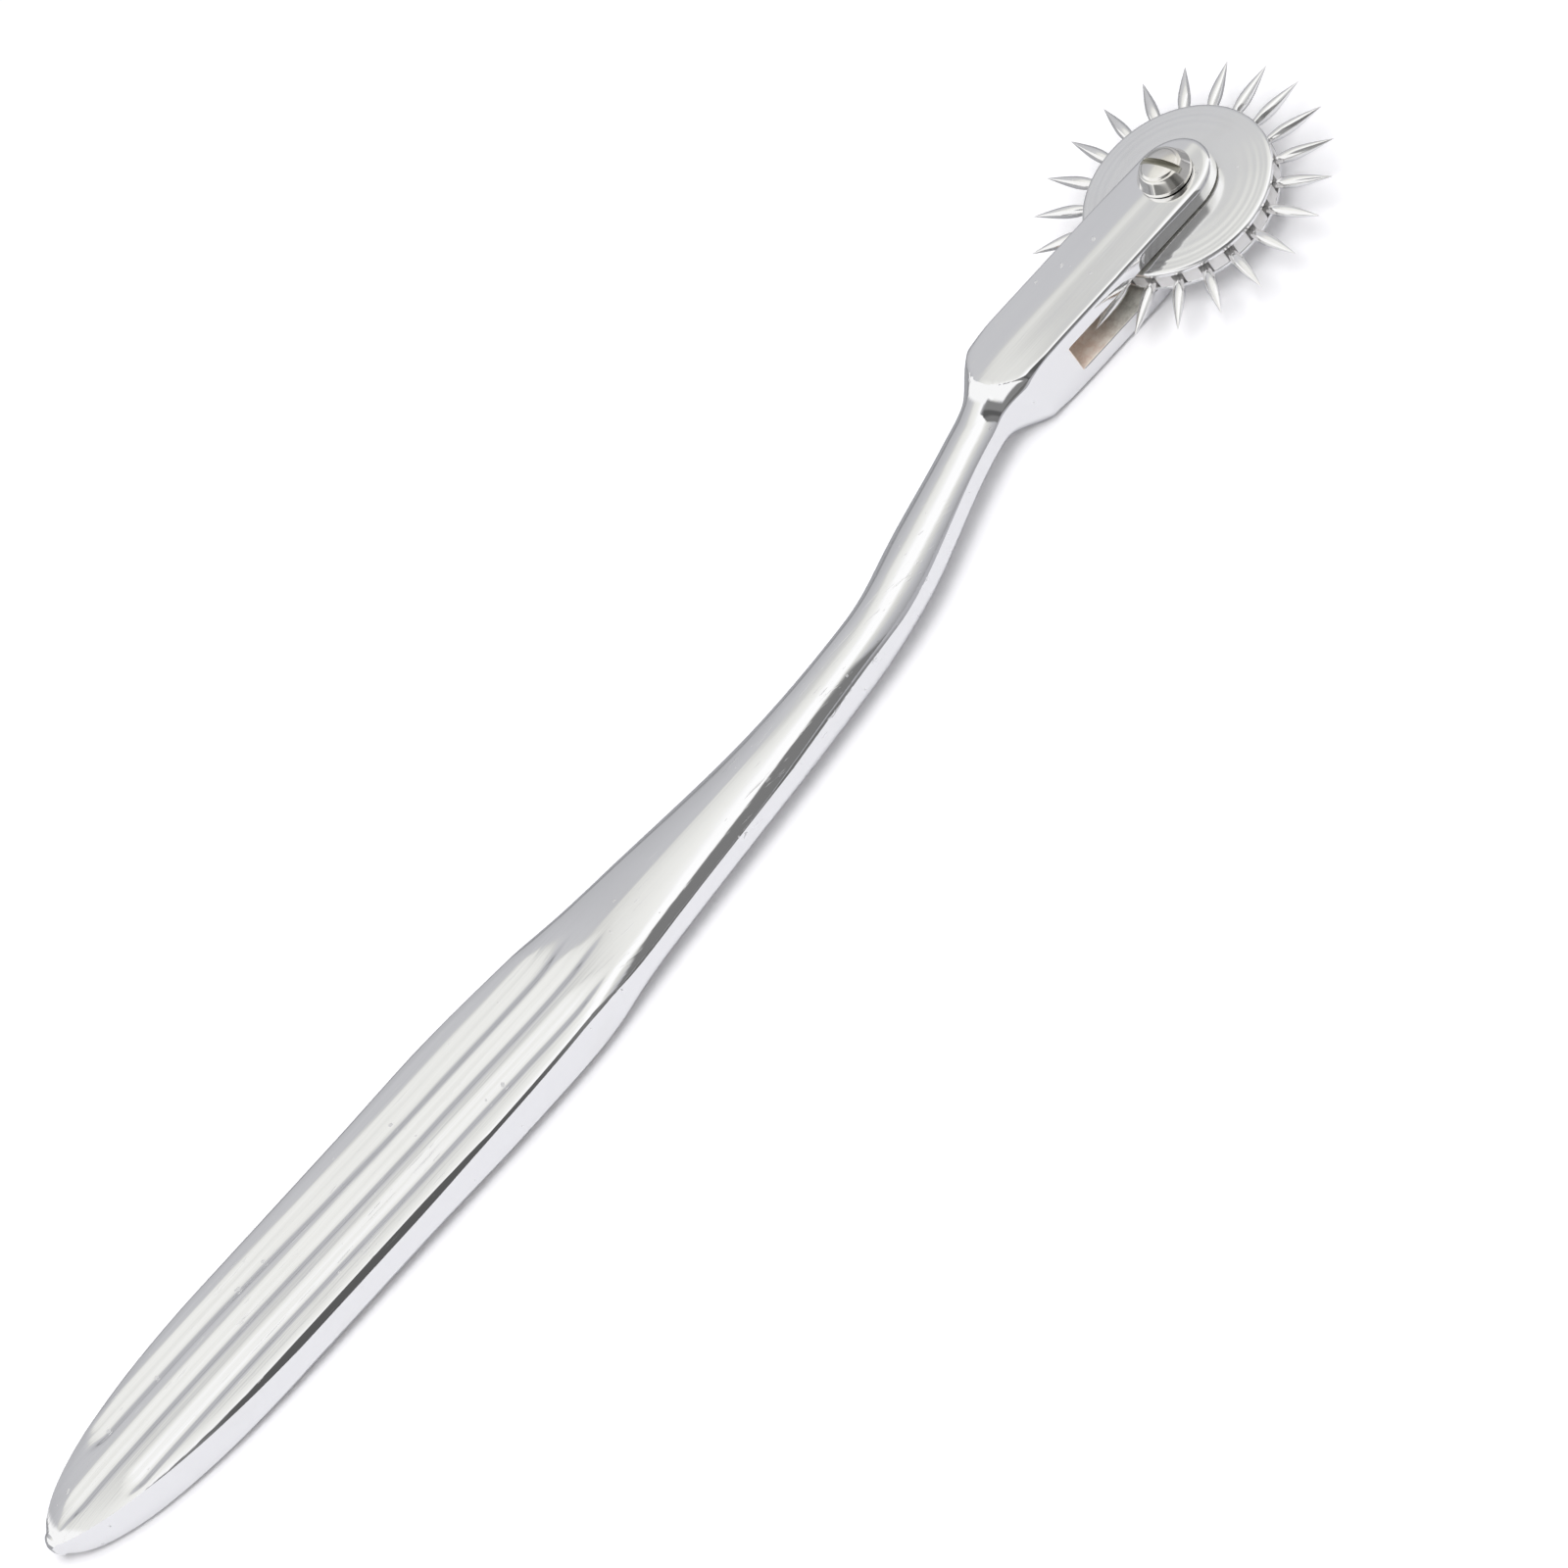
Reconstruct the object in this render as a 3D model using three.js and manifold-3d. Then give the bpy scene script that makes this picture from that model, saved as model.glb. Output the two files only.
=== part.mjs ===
// A neurological pinwheel: a wheel of sharp pins that turns freely in the fork of a forged steel
// handle. Lengths are millimetres. The instrument lies flat with +Z up, +X runs along the handle
// towards the wheel, and the bent shank carries the wheel over to +Y. The wheel's axle is upright.
// Every shape is built about the forging's middle plane, and the whole is then set on its lowest
// face with the middle of its plan at the origin.

import * as THREE from 'three';
import { mergeVertices } from 'three/addons/utils/BufferGeometryUtils.js';
import Module from 'manifold-3d';

const wasm = await Module();
wasm.setup();

// Lengths along the handle, one after another from its tip. The fork's follows from the wheel.
const bladeLength = 53;
const taperLength = 60;
const shankLength = 27.5;

// The bend that carries the wheel to one side
const wheelOffset = 10.4;
const bendStartShare = 0.557;
const bendRunIn = 2;
const bendLateness = 1.72;
const slopeReach = 1.5;

// Blade, the flat part that is held
const bladeWidth = 14.1;
const bladeThickness = 5.2;
const bladeCrown = 0.65;
const bladeCorner = 0.4;
const noseLength = 31;
const noseFullness = 2.4;
const noseWidthPower = 0.58;
const noseThicknessPower = 0.32;
const nubLength = 0.7;
const nubRadius = 0.95;

// Flutes along both broad faces of the blade, running out in the taper
const flutePitch = 3.4;
const fluteDepth = 0.45;
const fluteRunOut = 7;
const sideFluteStart = 7.5;
const sideFluteOverrun = 21;
const middleFluteOverrun = 26;

// Shank, where the blade draws in to a round bar
const roundingStartShare = 0.18;
const roundingEndShare = 0.75;
const shankDiameter = 5.4;
const bendDiameter = 5.7;
const neckDiameter = 4.7;
const bendDiameterShare = 0.24;
const neckShare = 0.69;

// Wheel, a slotted ring of pins clamped between two discs on a tubular bush
const discDiameter = 19.6;
const discThickness = 0.75;
const discBevel = 0.2;
const discFall = 0.12;
const discFlatDiameter = 9;
const ringThickness = 1.5;
const bushWall = 0.74;
const bushProud = 0.1;

// Pins, turned spindles with a long sharp point
const pinCount = 22;
const firstPinAngle = -3.7;
const pinReach = 5.9;
const pinRootLength = 2.55;
const pinRootDiameter = 0.85;
const pinDiameter = 1.25;
const pinSideGap = 0.15;
const pinBellyShares = [
  [0.1, 0.8],
  [0.3, 1.0],
  [0.52, 0.84],
  [0.76, 0.47],
];

// Fork, which holds the wheel between two cheeks
const cheekThickness = 2.0;
const cheekClearance = 0.1;
const tipClearance = 3.0;
const yokeLength = 5.1;
const forkWidth = 8.4;
const forkNoseLength = 4.6;
const forkCorner = 0.35;
const shoulderLength = 4.9;
const forkEndAngle = 78;

// Axle screw, threaded into the lower cheek
const journalDiameter = 3.0;
const threadStep = 0.2;
const screwHeadDiameter = 5.6;
const screwHeadRim = 1.1;
const screwHeadDome = 1.0;
const screwSlotWidth = 0.6;
const screwSlotDepth = 0.8;
const screwSlotAngle = -72;
const screwEndShort = 0.3;
const screwEndChamfer = 0.3;

// Clearances and cutting
const turningClearance = 0.06;
const fixedClearance = 0.05;
const cutOverrun = 1;

// Fineness of the round and curved faces
const faceSteps = 12;
const pointsBesideFace = 6;
const discSides = 44;
const holeSides = 32;
const pinSides = 8;
const domeSteps = 4;
const landSteps = 2;
const noseSteps = 9;
const bladeSteps = 4;
const taperSteps = 8;
const bendSteps = 15;
const shoulderSteps = 6;
const forkEndSteps = 7;
const nubStationShares = [0.15, 0.5, 1];
const firstNoseShare = 0.2;
const faceReachShare = 0.9;
const cornerLimitShare = 0.33;
const weldDistance = 0.0005;

// Wheel's radii and heights
const boreRadius = journalDiameter / 2 + turningClearance;
const bushRadius = boreRadius + bushWall;
const bushHoleRadius = bushRadius + fixedClearance;
const discRadius = discDiameter / 2;
const tipRadius = discRadius + pinReach;
const slotFloorRadius = discRadius - pinRootLength - fixedClearance;
const pinSlotWidth = pinRootDiameter + 2 * pinSideGap;
const ringTop = ringThickness / 2;
const wheelTop = ringTop + discThickness;
const bushTop = wheelTop + bushProud;

// Fork's heights, and its places along the handle
const slotTop = bushTop + cheekClearance;
const forkTop = slotTop + cheekThickness;
const slotReach = tipRadius + tipClearance;
const taperEnd = bladeLength + taperLength;
const forkStart = taperEnd + shankLength;
const shoulderStart = forkStart - shoulderLength;
const wheelReach = forkStart + yokeLength + slotReach;
const bendStart = bladeLength + bendStartShare * taperLength;
const bendEnd = forkStart + bendRunIn;
const roundingStart = bladeLength + roundingStartShare * taperLength;
const roundingEnd = bladeLength + roundingEndShare * taperLength;
const bendDiameterReach = taperEnd + bendDiameterShare * shankLength;
const neckReach = taperEnd + neckShare * shankLength;
const sideFluteEnd = bladeLength + sideFluteOverrun;
const middleFluteEnd = bladeLength + middleFluteOverrun;
const fluteReach = (3 * flutePitch) / 2;
const sectionPoints = 2 * (faceSteps + pointsBesideFace);

const finishes = {
  polishedSteel: { color: 0xdcdde0, roughness: 0.08, metalness: 1 },
  screwSteel: { color: 0xd2cbc3, roughness: 0.16, metalness: 1 },
  discSteel: { color: 0xd6d7da, roughness: 0.12, metalness: 1 },
  ringSteel: { color: 0xb9b5b1, roughness: 0.35, metalness: 1 },
  pinSteel: { color: 0xd5d2cc, roughness: 0.2, metalness: 1 },
};

const clamp = THREE.MathUtils.clamp;
const lerp = THREE.MathUtils.lerp;
const radians = THREE.MathUtils.degToRad;

// Rises smoothly from 0 at start to 1 at end
function ease(value, start, end) {
  return THREE.MathUtils.smoothstep(value, start, end);
}

// Six times the volume inside a closed, indexed geometry: negative when its faces point inwards
function signedVolume(geometry) {
  const places = geometry.getAttribute('position');
  const corners = [new THREE.Vector3(), new THREE.Vector3(), new THREE.Vector3()];
  let volume = 0;
  for (let i = 0; i < geometry.index.count; i += 3) {
    corners.forEach((corner, k) => corner.fromBufferAttribute(places, geometry.index.getX(i + k)));
    volume += corners[0].dot(corners[1].clone().cross(corners[2]));
  }
  return volume;
}

// Welds a geometry's seams and poles into one closed body with its faces pointing out
function closedBody(geometry) {
  const bare = geometry.clone();
  bare.deleteAttribute('normal');
  bare.deleteAttribute('uv');
  const welded = mergeVertices(bare, weldDistance);
  const kept = [];
  for (let i = 0; i < welded.index.count; i += 3) {
    const face = [0, 1, 2].map((k) => welded.index.getX(i + k));
    if (new Set(face).size === face.length) kept.push(...face);
  }
  welded.setIndex(kept);
  if (signedVolume(welded) < 0) welded.setIndex(kept.reverse());
  return welded;
}

function toSolid(geometry) {
  const body = closedBody(geometry);
  const vertProperties = new Float32Array(body.getAttribute('position').array);
  const triVerts = new Uint32Array(body.index.array);
  return new wasm.Manifold(new wasm.Mesh({ numProp: 3, vertProperties, triVerts }));
}

function toGeometry(solid) {
  const mesh = solid.getMesh();
  const geometry = new THREE.BufferGeometry();
  geometry.setAttribute('position', new THREE.BufferAttribute(mesh.vertProperties, 3));
  geometry.setIndex(new THREE.BufferAttribute(mesh.triVerts, 1));
  return geometry;
}

// Takes each cutter away from a body
function cut(geometry, cutters) {
  const solid = cutters.reduce((left, cutter) => left.subtract(toSolid(cutter)), toSolid(geometry));
  return toGeometry(solid);
}

// A turned body about +Z from a profile of [radius, height] pairs
function turned(profile, sides) {
  const points = profile.map(([radius, height]) => new THREE.Vector2(radius, height));
  return new THREE.LatheGeometry(points, sides).rotateX(Math.PI / 2);
}

// A box between two corners
function boxBetween(low, high) {
  const size = high.map((value, axis) => value - low[axis]);
  const middle = high.map((value, axis) => (value + low[axis]) / 2);
  return new THREE.BoxGeometry(...size).translate(...middle);
}

function namedMesh(name, geometry, finish) {
  const mesh = new THREE.Mesh(geometry, new THREE.MeshStandardMaterial(finish));
  mesh.name = name;
  return mesh;
}

// The forging is a loft along a line that is straight in the blade and in the fork and swings
// over between them. Each section is square to that line.
function centreOffset(x) {
  const along = clamp((x - bendStart) / (bendEnd - bendStart), 0, 1) ** bendLateness;
  return wheelOffset * ease(along, 0, 1);
}

function centreSlope(x) {
  return (centreOffset(x + slopeReach) - centreOffset(x - slopeReach)) / (2 * slopeReach);
}

// How far the blade's nose has filled out, from 0 near the tip to 1 at full size
function noseGrowth(x) {
  const left = 1 - clamp((x - nubLength) / noseLength, 0, 1);
  return 1 - left ** noseFullness;
}

function nubSize(x) {
  const depth = clamp(x, 0, nubRadius);
  return Math.sqrt(depth * (2 * nubRadius - depth));
}

function shankRadius(x) {
  const swell = ease(x, taperEnd, bendDiameterReach);
  const thinning = ease(x, bendDiameterReach, neckReach);
  const swollen = lerp(shankDiameter, bendDiameter, swell);
  return lerp(swollen, neckDiameter, thinning) / 2;
}

// The rounded end of the fork narrows as half an ellipse about the axle
function forkHalfWidth(x) {
  const past = clamp((x - wheelReach) / forkNoseLength, 0, 1);
  return (forkWidth / 2) * Math.sqrt(1 - past ** 2);
}

function halfWidth(x) {
  const blade = Math.max((noseGrowth(x) ** noseWidthPower * bladeWidth) / 2, nubSize(x));
  const bar = lerp(blade, shankRadius(x), ease(x, bladeLength, taperEnd));
  return lerp(bar, forkHalfWidth(x), ease(x, shoulderStart, forkStart));
}

function halfThickness(x) {
  const nub = nubSize(x);
  const blade = Math.max((noseGrowth(x) ** noseThicknessPower * bladeThickness) / 2, nub);
  const bar = lerp(blade, shankRadius(x), ease(x, bladeLength, taperEnd));
  return lerp(bar, forkTop, ease(x, shoulderStart, forkStart));
}

// 1 where the section is an ellipse, 0 where it is a flat bar
function roundness(x) {
  return ease(x, roundingStart, roundingEnd) * (1 - ease(x, shoulderStart, forkStart));
}

// Depth of the flutes below the broad face, each a shallow arc that meets the next in a crest
function fluteDepthAt(x, y) {
  const flute = clamp(Math.round(y / flutePitch), -1, 1);
  const across = (2 * (y - flute * flutePitch)) / flutePitch;
  const start = flute === 0 ? nubLength : sideFluteStart;
  const end = flute === 0 ? middleFluteEnd : sideFluteEnd;
  const fade = ease(x, start, start + fluteRunOut) * (1 - ease(x, end - fluteRunOut, end));
  return fluteDepth * fade * Math.max(0, 1 - across ** 2);
}

// Half height of the flat bar's broad face at y, crowned and fluted in the blade
function faceHeight(x, y, thickness) {
  const inBlade = 1 - ease(x, bladeLength, taperEnd);
  const crown = bladeCrown * inBlade * ((2 * y) / bladeWidth) ** 2;
  return thickness - crown - fluteDepthAt(x, y);
}

// The flat bar's outline in order round the section, from +Y over the top to -Y and back below
function barSection(x, width, thickness) {
  const fullCorner = lerp(bladeCorner, forkCorner, ease(x, shoulderStart, forkStart));
  const corner = Math.min(fullCorner, width * cornerLimitShare);
  const shoulder = width - corner;
  const edge = faceHeight(x, shoulder, thickness);
  const reach = Math.min(fluteReach, shoulder * faceReachShare);
  const top = [[width, edge - corner], [shoulder, edge]];
  for (let i = 0; i <= faceSteps; i += 1) {
    const y = lerp(reach, -reach, i / faceSteps);
    top.push([y, faceHeight(x, y, thickness)]);
  }
  top.push([-shoulder, edge], [-width, edge - corner]);
  const bottom = top.map(([y, z]) => [-y, -z]);
  return [[width, 0], ...top, [-width, 0], ...bottom];
}

function ellipseSection(width, thickness) {
  return Array.from({ length: sectionPoints }, (_, i) => {
    const angle = (2 * Math.PI * i) / sectionPoints;
    return [width * Math.cos(angle), thickness * Math.sin(angle)];
  });
}

function sectionAt(x) {
  const width = halfWidth(x);
  const thickness = halfThickness(x);
  const round = roundness(x);
  const bar = barSection(x, width, thickness);
  const ellipse = ellipseSection(width, thickness);
  const slope = Math.atan(centreSlope(x));
  return bar.map(([y, z], i) => {
    const across = lerp(y, ellipse[i][0], round);
    const up = lerp(z, ellipse[i][1], round);
    return [x - across * Math.sin(slope), centreOffset(x) + across * Math.cos(slope), up];
  });
}

// Even steps from one place to another, without the last
function steps(from, to, count) {
  return Array.from({ length: count }, (_, i) => lerp(from, to, i / count));
}

// Places of the loft's sections, closer together at the nose, the shoulder and the fork's end
function forgingStations() {
  const lastAngle = radians(forkEndAngle);
  const nub = nubStationShares.map((share) => share * nubLength);
  const nose = steps(firstNoseShare, 1, noseSteps).map((share) => nubLength + noseLength * share ** 2);
  const blade = steps(nubLength + noseLength, roundingStart, bladeSteps);
  const taper = steps(roundingStart, bendStart, taperSteps);
  const bend = steps(bendStart, shoulderStart, bendSteps);
  const shoulder = steps(shoulderStart, forkStart, shoulderSteps);
  const end = [...steps(0, lastAngle, forkEndSteps), lastAngle].map(
    (angle) => wheelReach + forkNoseLength * Math.sin(angle),
  );
  const fork = [forkStart, bendEnd, ...end];
  return [...nub, ...nose, ...blade, ...taper, ...bend, ...shoulder, ...fork];
}

// Skins the sections with triangles and closes both ends with fans
function forgingBlank() {
  const rings = forgingStations().map(sectionAt);
  const tip = [0, 0, 0];
  const last = rings.length - 1;
  const end = [rings[last][0][0], centreOffset(wheelReach), 0];
  const places = [...rings.flat(), tip, end];
  const tipIndex = places.length - 2;
  const endIndex = places.length - 1;
  const faces = [];
  for (let i = 0; i < sectionPoints; i += 1) {
    const next = (i + 1) % sectionPoints;
    faces.push([tipIndex, next, i]);
    faces.push([endIndex, last * sectionPoints + i, last * sectionPoints + next]);
    for (let ring = 0; ring < last; ring += 1) {
      const here = ring * sectionPoints;
      const ahead = here + sectionPoints;
      faces.push([here + i, here + next, ahead + next]);
      faces.push([here + i, ahead + next, ahead + i]);
    }
  }
  const geometry = new THREE.BufferGeometry();
  geometry.setAttribute('position', new THREE.Float32BufferAttribute(places.flat(), 3));
  geometry.setIndex(faces.flat());
  return geometry;
}

// One forging: fluted blade, bent shank and fork, with the wheel's slot and the axle's two holes
function forgedHandle() {
  const outside = forkWidth + cutOverrun;
  const slot = boxBetween(
    [wheelReach - slotReach, wheelOffset - outside, -slotTop],
    [wheelReach + outside, wheelOffset + outside, slotTop],
  );
  const upperRadius = journalDiameter / 2 + fixedClearance;
  const lowerRadius = upperRadius - threadStep;
  const past = forkTop + cutOverrun;
  const upper = turned([[0, 0], [upperRadius, 0], [upperRadius, past], [0, past]], holeSides);
  const lower = turned([[0, -past], [lowerRadius, -past], [lowerRadius, 0], [0, 0]], holeSides);
  const holes = [upper, lower].map((hole) => hole.translate(wheelReach, wheelOffset, 0));
  const body = cut(forgingBlank(), [slot, ...holes]);
  return namedMesh('forged_handle', body, finishes.polishedSteel);
}

// Slotted cheese-head screw: a plain journal between the cheeks and a thread in the lower one
function axleScrew() {
  const headRadius = screwHeadDiameter / 2;
  const journal = journalDiameter / 2;
  const thread = journal - threadStep;
  const low = -forkTop + screwEndShort;
  const rimTop = forkTop + screwHeadRim;
  const top = rimTop + screwHeadDome;
  const dome = steps(0, Math.PI / 2, domeSteps).map((angle) => [
    headRadius * Math.cos(angle),
    rimTop + screwHeadDome * Math.sin(angle),
  ]);
  const profile = [
    [0, low],
    [thread - screwEndChamfer, low],
    [thread, low + screwEndChamfer],
    [thread, -slotTop + fixedClearance],
    [journal, -slotTop + fixedClearance],
    [journal, forkTop],
    [headRadius, forkTop],
    ...dome,
    [0, top],
  ];
  const slot = boxBetween(
    [-screwHeadDiameter, -screwSlotWidth / 2, top - screwSlotDepth],
    [screwHeadDiameter, screwSlotWidth / 2, top + cutOverrun],
  );
  const screw = namedMesh('axle_screw', cut(turned(profile, holeSides), [slot]), finishes.screwSteel);
  screw.rotation.z = radians(screwSlotAngle);
  screw.position.set(wheelReach, wheelOffset, 0);
  return screw;
}

// One of the two discs that clamp the pins, with its face falling away a little to the rim
function clampDisc(name, side) {
  const profile = [
    [bushHoleRadius, ringTop],
    [discRadius - discBevel, ringTop],
    [discRadius, ringTop + discBevel],
    [discRadius, wheelTop - discFall - discBevel],
    [discRadius - discBevel, wheelTop - discFall],
    [discFlatDiameter / 2, wheelTop],
    [bushHoleRadius, wheelTop],
    [bushHoleRadius, ringTop],
  ];
  const placed = profile.map(([radius, height]) => [radius, side * height]);
  return namedMesh(name, closedBody(turned(placed, discSides)), finishes.discSteel);
}

// The ring between the discs, with an open slot in its edge for each pin
function pinRing() {
  const pitch = (2 * Math.PI) / pinCount;
  const rimHalfAngle = Math.asin(pinSlotWidth / 2 / discRadius);
  const floorHalfAngle = Math.asin(pinSlotWidth / 2 / slotFloorRadius);
  const rimPoint = (angle) => [discRadius * Math.cos(angle), discRadius * Math.sin(angle)];
  const floorPoint = (angle) => [
    slotFloorRadius * Math.cos(angle),
    slotFloorRadius * Math.sin(angle),
  ];
  const outline = [];
  for (let pin = 0; pin < pinCount; pin += 1) {
    const middle = pin * pitch;
    outline.push(floorPoint(middle - floorHalfAngle), floorPoint(middle + floorHalfAngle));
    for (let i = 0; i <= landSteps; i += 1) {
      const angle = lerp(middle + rimHalfAngle, middle + pitch - rimHalfAngle, i / landSteps);
      outline.push(rimPoint(angle));
    }
  }
  const shape = new THREE.Shape(outline.map(([x, y]) => new THREE.Vector2(x, y)));
  const hole = Array.from({ length: holeSides }, (_, i) => {
    const angle = (-2 * Math.PI * i) / holeSides;
    return new THREE.Vector2(bushHoleRadius * Math.cos(angle), bushHoleRadius * Math.sin(angle));
  });
  shape.holes.push(new THREE.Path(hole));
  const body = new THREE.ExtrudeGeometry(shape, { depth: ringThickness, bevelEnabled: false });
  body.translate(0, 0, -ringTop);
  return namedMesh('pin_ring', closedBody(body), finishes.ringSteel);
}

// Tubular bush that ties the discs together and runs on the screw's journal
function axleBush() {
  const profile = [
    [boreRadius, -bushTop],
    [bushRadius, -bushTop],
    [bushRadius, bushTop],
    [boreRadius, bushTop],
    [boreRadius, -bushTop],
  ];
  return namedMesh('axle_bush', closedBody(turned(profile, holeSides)), finishes.screwSteel);
}

// One pin lying along +X with its root in the ring's slot and its point at the tip circle
function pinGeometry() {
  const root = slotFloorRadius + fixedClearance;
  const belly = pinBellyShares.map(([along, size]) => [
    (size * pinDiameter) / 2,
    discRadius + along * pinReach,
  ]);
  const profile = [
    [0, root],
    [pinRootDiameter / 2, root],
    [pinRootDiameter / 2, discRadius],
    ...belly,
    [0, tipRadius],
  ];
  return closedBody(turned(profile, pinSides).rotateY(Math.PI / 2));
}

function pins() {
  const geometry = pinGeometry();
  return Array.from({ length: pinCount }, (_, i) => {
    const name = `pin_${String(i + 1).padStart(2, '0')}`;
    const pin = namedMesh(name, geometry, finishes.pinSteel);
    pin.rotation.z = (2 * Math.PI * i) / pinCount;
    return pin;
  });
}

function pinWheel() {
  const wheel = new THREE.Group();
  wheel.add(clampDisc('wheel_front_disc', 1), pinRing(), clampDisc('wheel_rear_disc', -1));
  wheel.add(axleBush(), ...pins());
  wheel.rotation.z = radians(firstPinAngle);
  wheel.position.set(wheelReach, wheelOffset, 0);
  return wheel;
}

// Sets a group on z = 0 with the middle of its plan on the Z axis
function settled(group) {
  const box = new THREE.Box3().setFromObject(group, true);
  const middle = box.getCenter(new THREE.Vector3());
  group.position.set(-middle.x, -middle.y, -box.min.z);
  const frame = new THREE.Group();
  frame.add(group);
  return frame;
}

const instrument = new THREE.Group();
instrument.add(forgedHandle(), axleScrew(), pinWheel());

export default settled(instrument);
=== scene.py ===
"""Looks of the neurological pinwheel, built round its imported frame.

Every shape is worked out in millimetres in the plan frame, where x runs along the handle from the
blade's tip, y runs across it and z is measured from the middle of the metal. One shift then carries
the shapes to the part's frame, and one scale to metres. A field whose name ends in span holds the
two places between which something grows smoothly from nothing to its whole.
"""

import logging
import math
from dataclasses import dataclass, field
from enum import Enum

import bmesh
import bpy
import numpy as np
from mathutils import Matrix, Vector


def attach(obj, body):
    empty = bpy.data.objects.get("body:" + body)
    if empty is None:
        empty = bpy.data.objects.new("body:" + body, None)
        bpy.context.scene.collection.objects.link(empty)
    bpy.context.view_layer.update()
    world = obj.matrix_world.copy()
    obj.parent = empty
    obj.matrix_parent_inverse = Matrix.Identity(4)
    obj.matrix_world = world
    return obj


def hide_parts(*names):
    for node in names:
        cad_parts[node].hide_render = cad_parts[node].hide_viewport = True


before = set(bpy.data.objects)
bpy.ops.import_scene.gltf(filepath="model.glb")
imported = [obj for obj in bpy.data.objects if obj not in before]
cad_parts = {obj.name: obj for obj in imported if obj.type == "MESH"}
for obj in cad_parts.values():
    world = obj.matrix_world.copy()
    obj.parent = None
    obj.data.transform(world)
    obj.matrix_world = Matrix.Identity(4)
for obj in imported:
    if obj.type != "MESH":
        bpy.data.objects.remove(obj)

log = logging.getLogger("pinwheel")
Array = np.ndarray
Number = Array | float
Socket = bpy.types.NodeSocket
Span = tuple[float, float]
Triple = tuple[float, float, float]

MM = 0.001
PLAN_SHIFT = np.array([-89.98363, -9.501, 3.7])
AXLE = (164.3, 10.4)
DRIVER_TURN = math.radians(-72.0)
TURN = 2.0 * math.pi
QUARTER = math.pi / 2.0
WELD = 1e-4
TINY = 1e-6


# ---- Curves and grids ----


def ease(t: Number) -> Number:
    """Smooth step of a share from 0 to 1: three squares less two cubes."""
    t = np.clip(t, 0.0, 1.0)
    return t * t * (3.0 - 2.0 * t)


def rise(x: Number, start: float, end: float) -> Number:
    """Share that grows smoothly from 0 at start to 1 at end."""
    return ease((np.asarray(x, float) - start) / (end - start))


def lerp(a: Number, b: Number, t: Number) -> Number:
    """Straight mix of a and b by the share t."""
    return a + (b - a) * t


def soft_ramp(u: Array, softness: Number) -> Array:
    """Ramp that is 0 below zero and u above it, with its corner rounded over the softness."""
    return 0.5 * (u + np.sqrt(u * u + softness * softness))


def quarter_round(radius: Number, away: Array) -> Array:
    """Height lost to a quarter round: r less the root of r's square less the inset's square."""
    inset = np.clip(radius - away, 0.0, radius)
    return radius - np.sqrt(np.maximum(radius**2 - inset**2, 0.0))


def around(radius: Array, angle: Array, height: Array) -> Array:
    """Points round the axle: r times the cosine and the sine of the angle, at the height."""
    x, y = AXLE[0] + radius * np.cos(angle), AXLE[1] + radius * np.sin(angle)
    return np.stack(np.broadcast_arrays(x, y, height), axis=-1)


def turned(radius: Array, height: Array, sides: int) -> Array:
    """Columns of radii and heights carried round the axle, as a grid to be added as closed."""
    return around(radius, np.arange(sides) * TURN / sides, height)


@dataclass
class Shell:
    """A closed surface gathered from grids of points that meet edge to edge."""

    points: list[Array] = field(default_factory=list)
    quads: list[Array] = field(default_factory=list)
    count: int = 0

    def add(self, grid: Array, closed: bool = False) -> "Shell":
        """Adds one grid of points.

        Args:
            grid: Points by row and column, in millimetres in the plan frame.
            closed: True where the last column joins the first.

        Returns:
            The shell itself.
        """
        rows, cols = grid.shape[:2]
        at = np.arange(rows * cols).reshape(rows, cols) + self.count
        if closed:
            at = np.concatenate([at, at[:, :1]], axis=1)
        a, b, c, d = at[:-1, :-1], at[:-1, 1:], at[1:, 1:], at[1:, :-1]
        self.points.append(grid.reshape(-1, 3))
        self.quads.append(np.stack([a, b, c, d], axis=-1).reshape(-1, 4))
        self.count += rows * cols
        return self

    def mesh(self, name: str, sharp_deg: float) -> bpy.types.Mesh:
        """Makes the mesh in metres in the part's frame.

        Points that round to the same step of the weld are made one. A face then drops each corner
        that repeats the one before it, faces that fold to a line go, and all faces are turned
        outwards.

        Args:
            name: Name of the mesh.
            sharp_deg: Edges that turn by more than this stay crisp.

        Returns:
            The finished mesh.
        """
        points = np.concatenate(self.points)
        key = np.round(points / WELD).astype(np.int64)
        _, first, back = np.unique(key, axis=0, return_index=True, return_inverse=True)
        points = (points[first] + PLAN_SHIFT) * MM
        quads = back.reshape(-1)[np.concatenate(self.quads)]
        kept = quads != np.roll(quads, 1, axis=1)
        folded = (quads[:, 0] == quads[:, 2]) | (quads[:, 1] == quads[:, 3])
        kept &= ((kept.sum(axis=1) > 2) & ~folded)[:, None]
        sizes = kept.sum(axis=1)
        sizes = sizes[sizes > 0]
        mesh = bpy.data.meshes.new(name)
        mesh.vertices.add(len(points))
        mesh.vertices.foreach_set("co", points.ravel().astype(np.float32))
        mesh.loops.add(int(sizes.sum()))
        mesh.polygons.add(len(sizes))
        mesh.polygons.foreach_set("loop_start", (np.cumsum(sizes) - sizes).astype(np.int32))
        mesh.polygons.foreach_set("vertices", quads[kept].astype(np.int32))
        mesh.update(calc_edges=True)
        tidy = bmesh.new()
        tidy.from_mesh(mesh)
        bmesh.ops.recalc_face_normals(tidy, faces=tidy.faces)
        tidy.to_mesh(mesh)
        tidy.free()
        mesh.shade_smooth()
        mesh.set_sharp_from_angle(angle=math.radians(sharp_deg))
        return mesh


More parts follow.
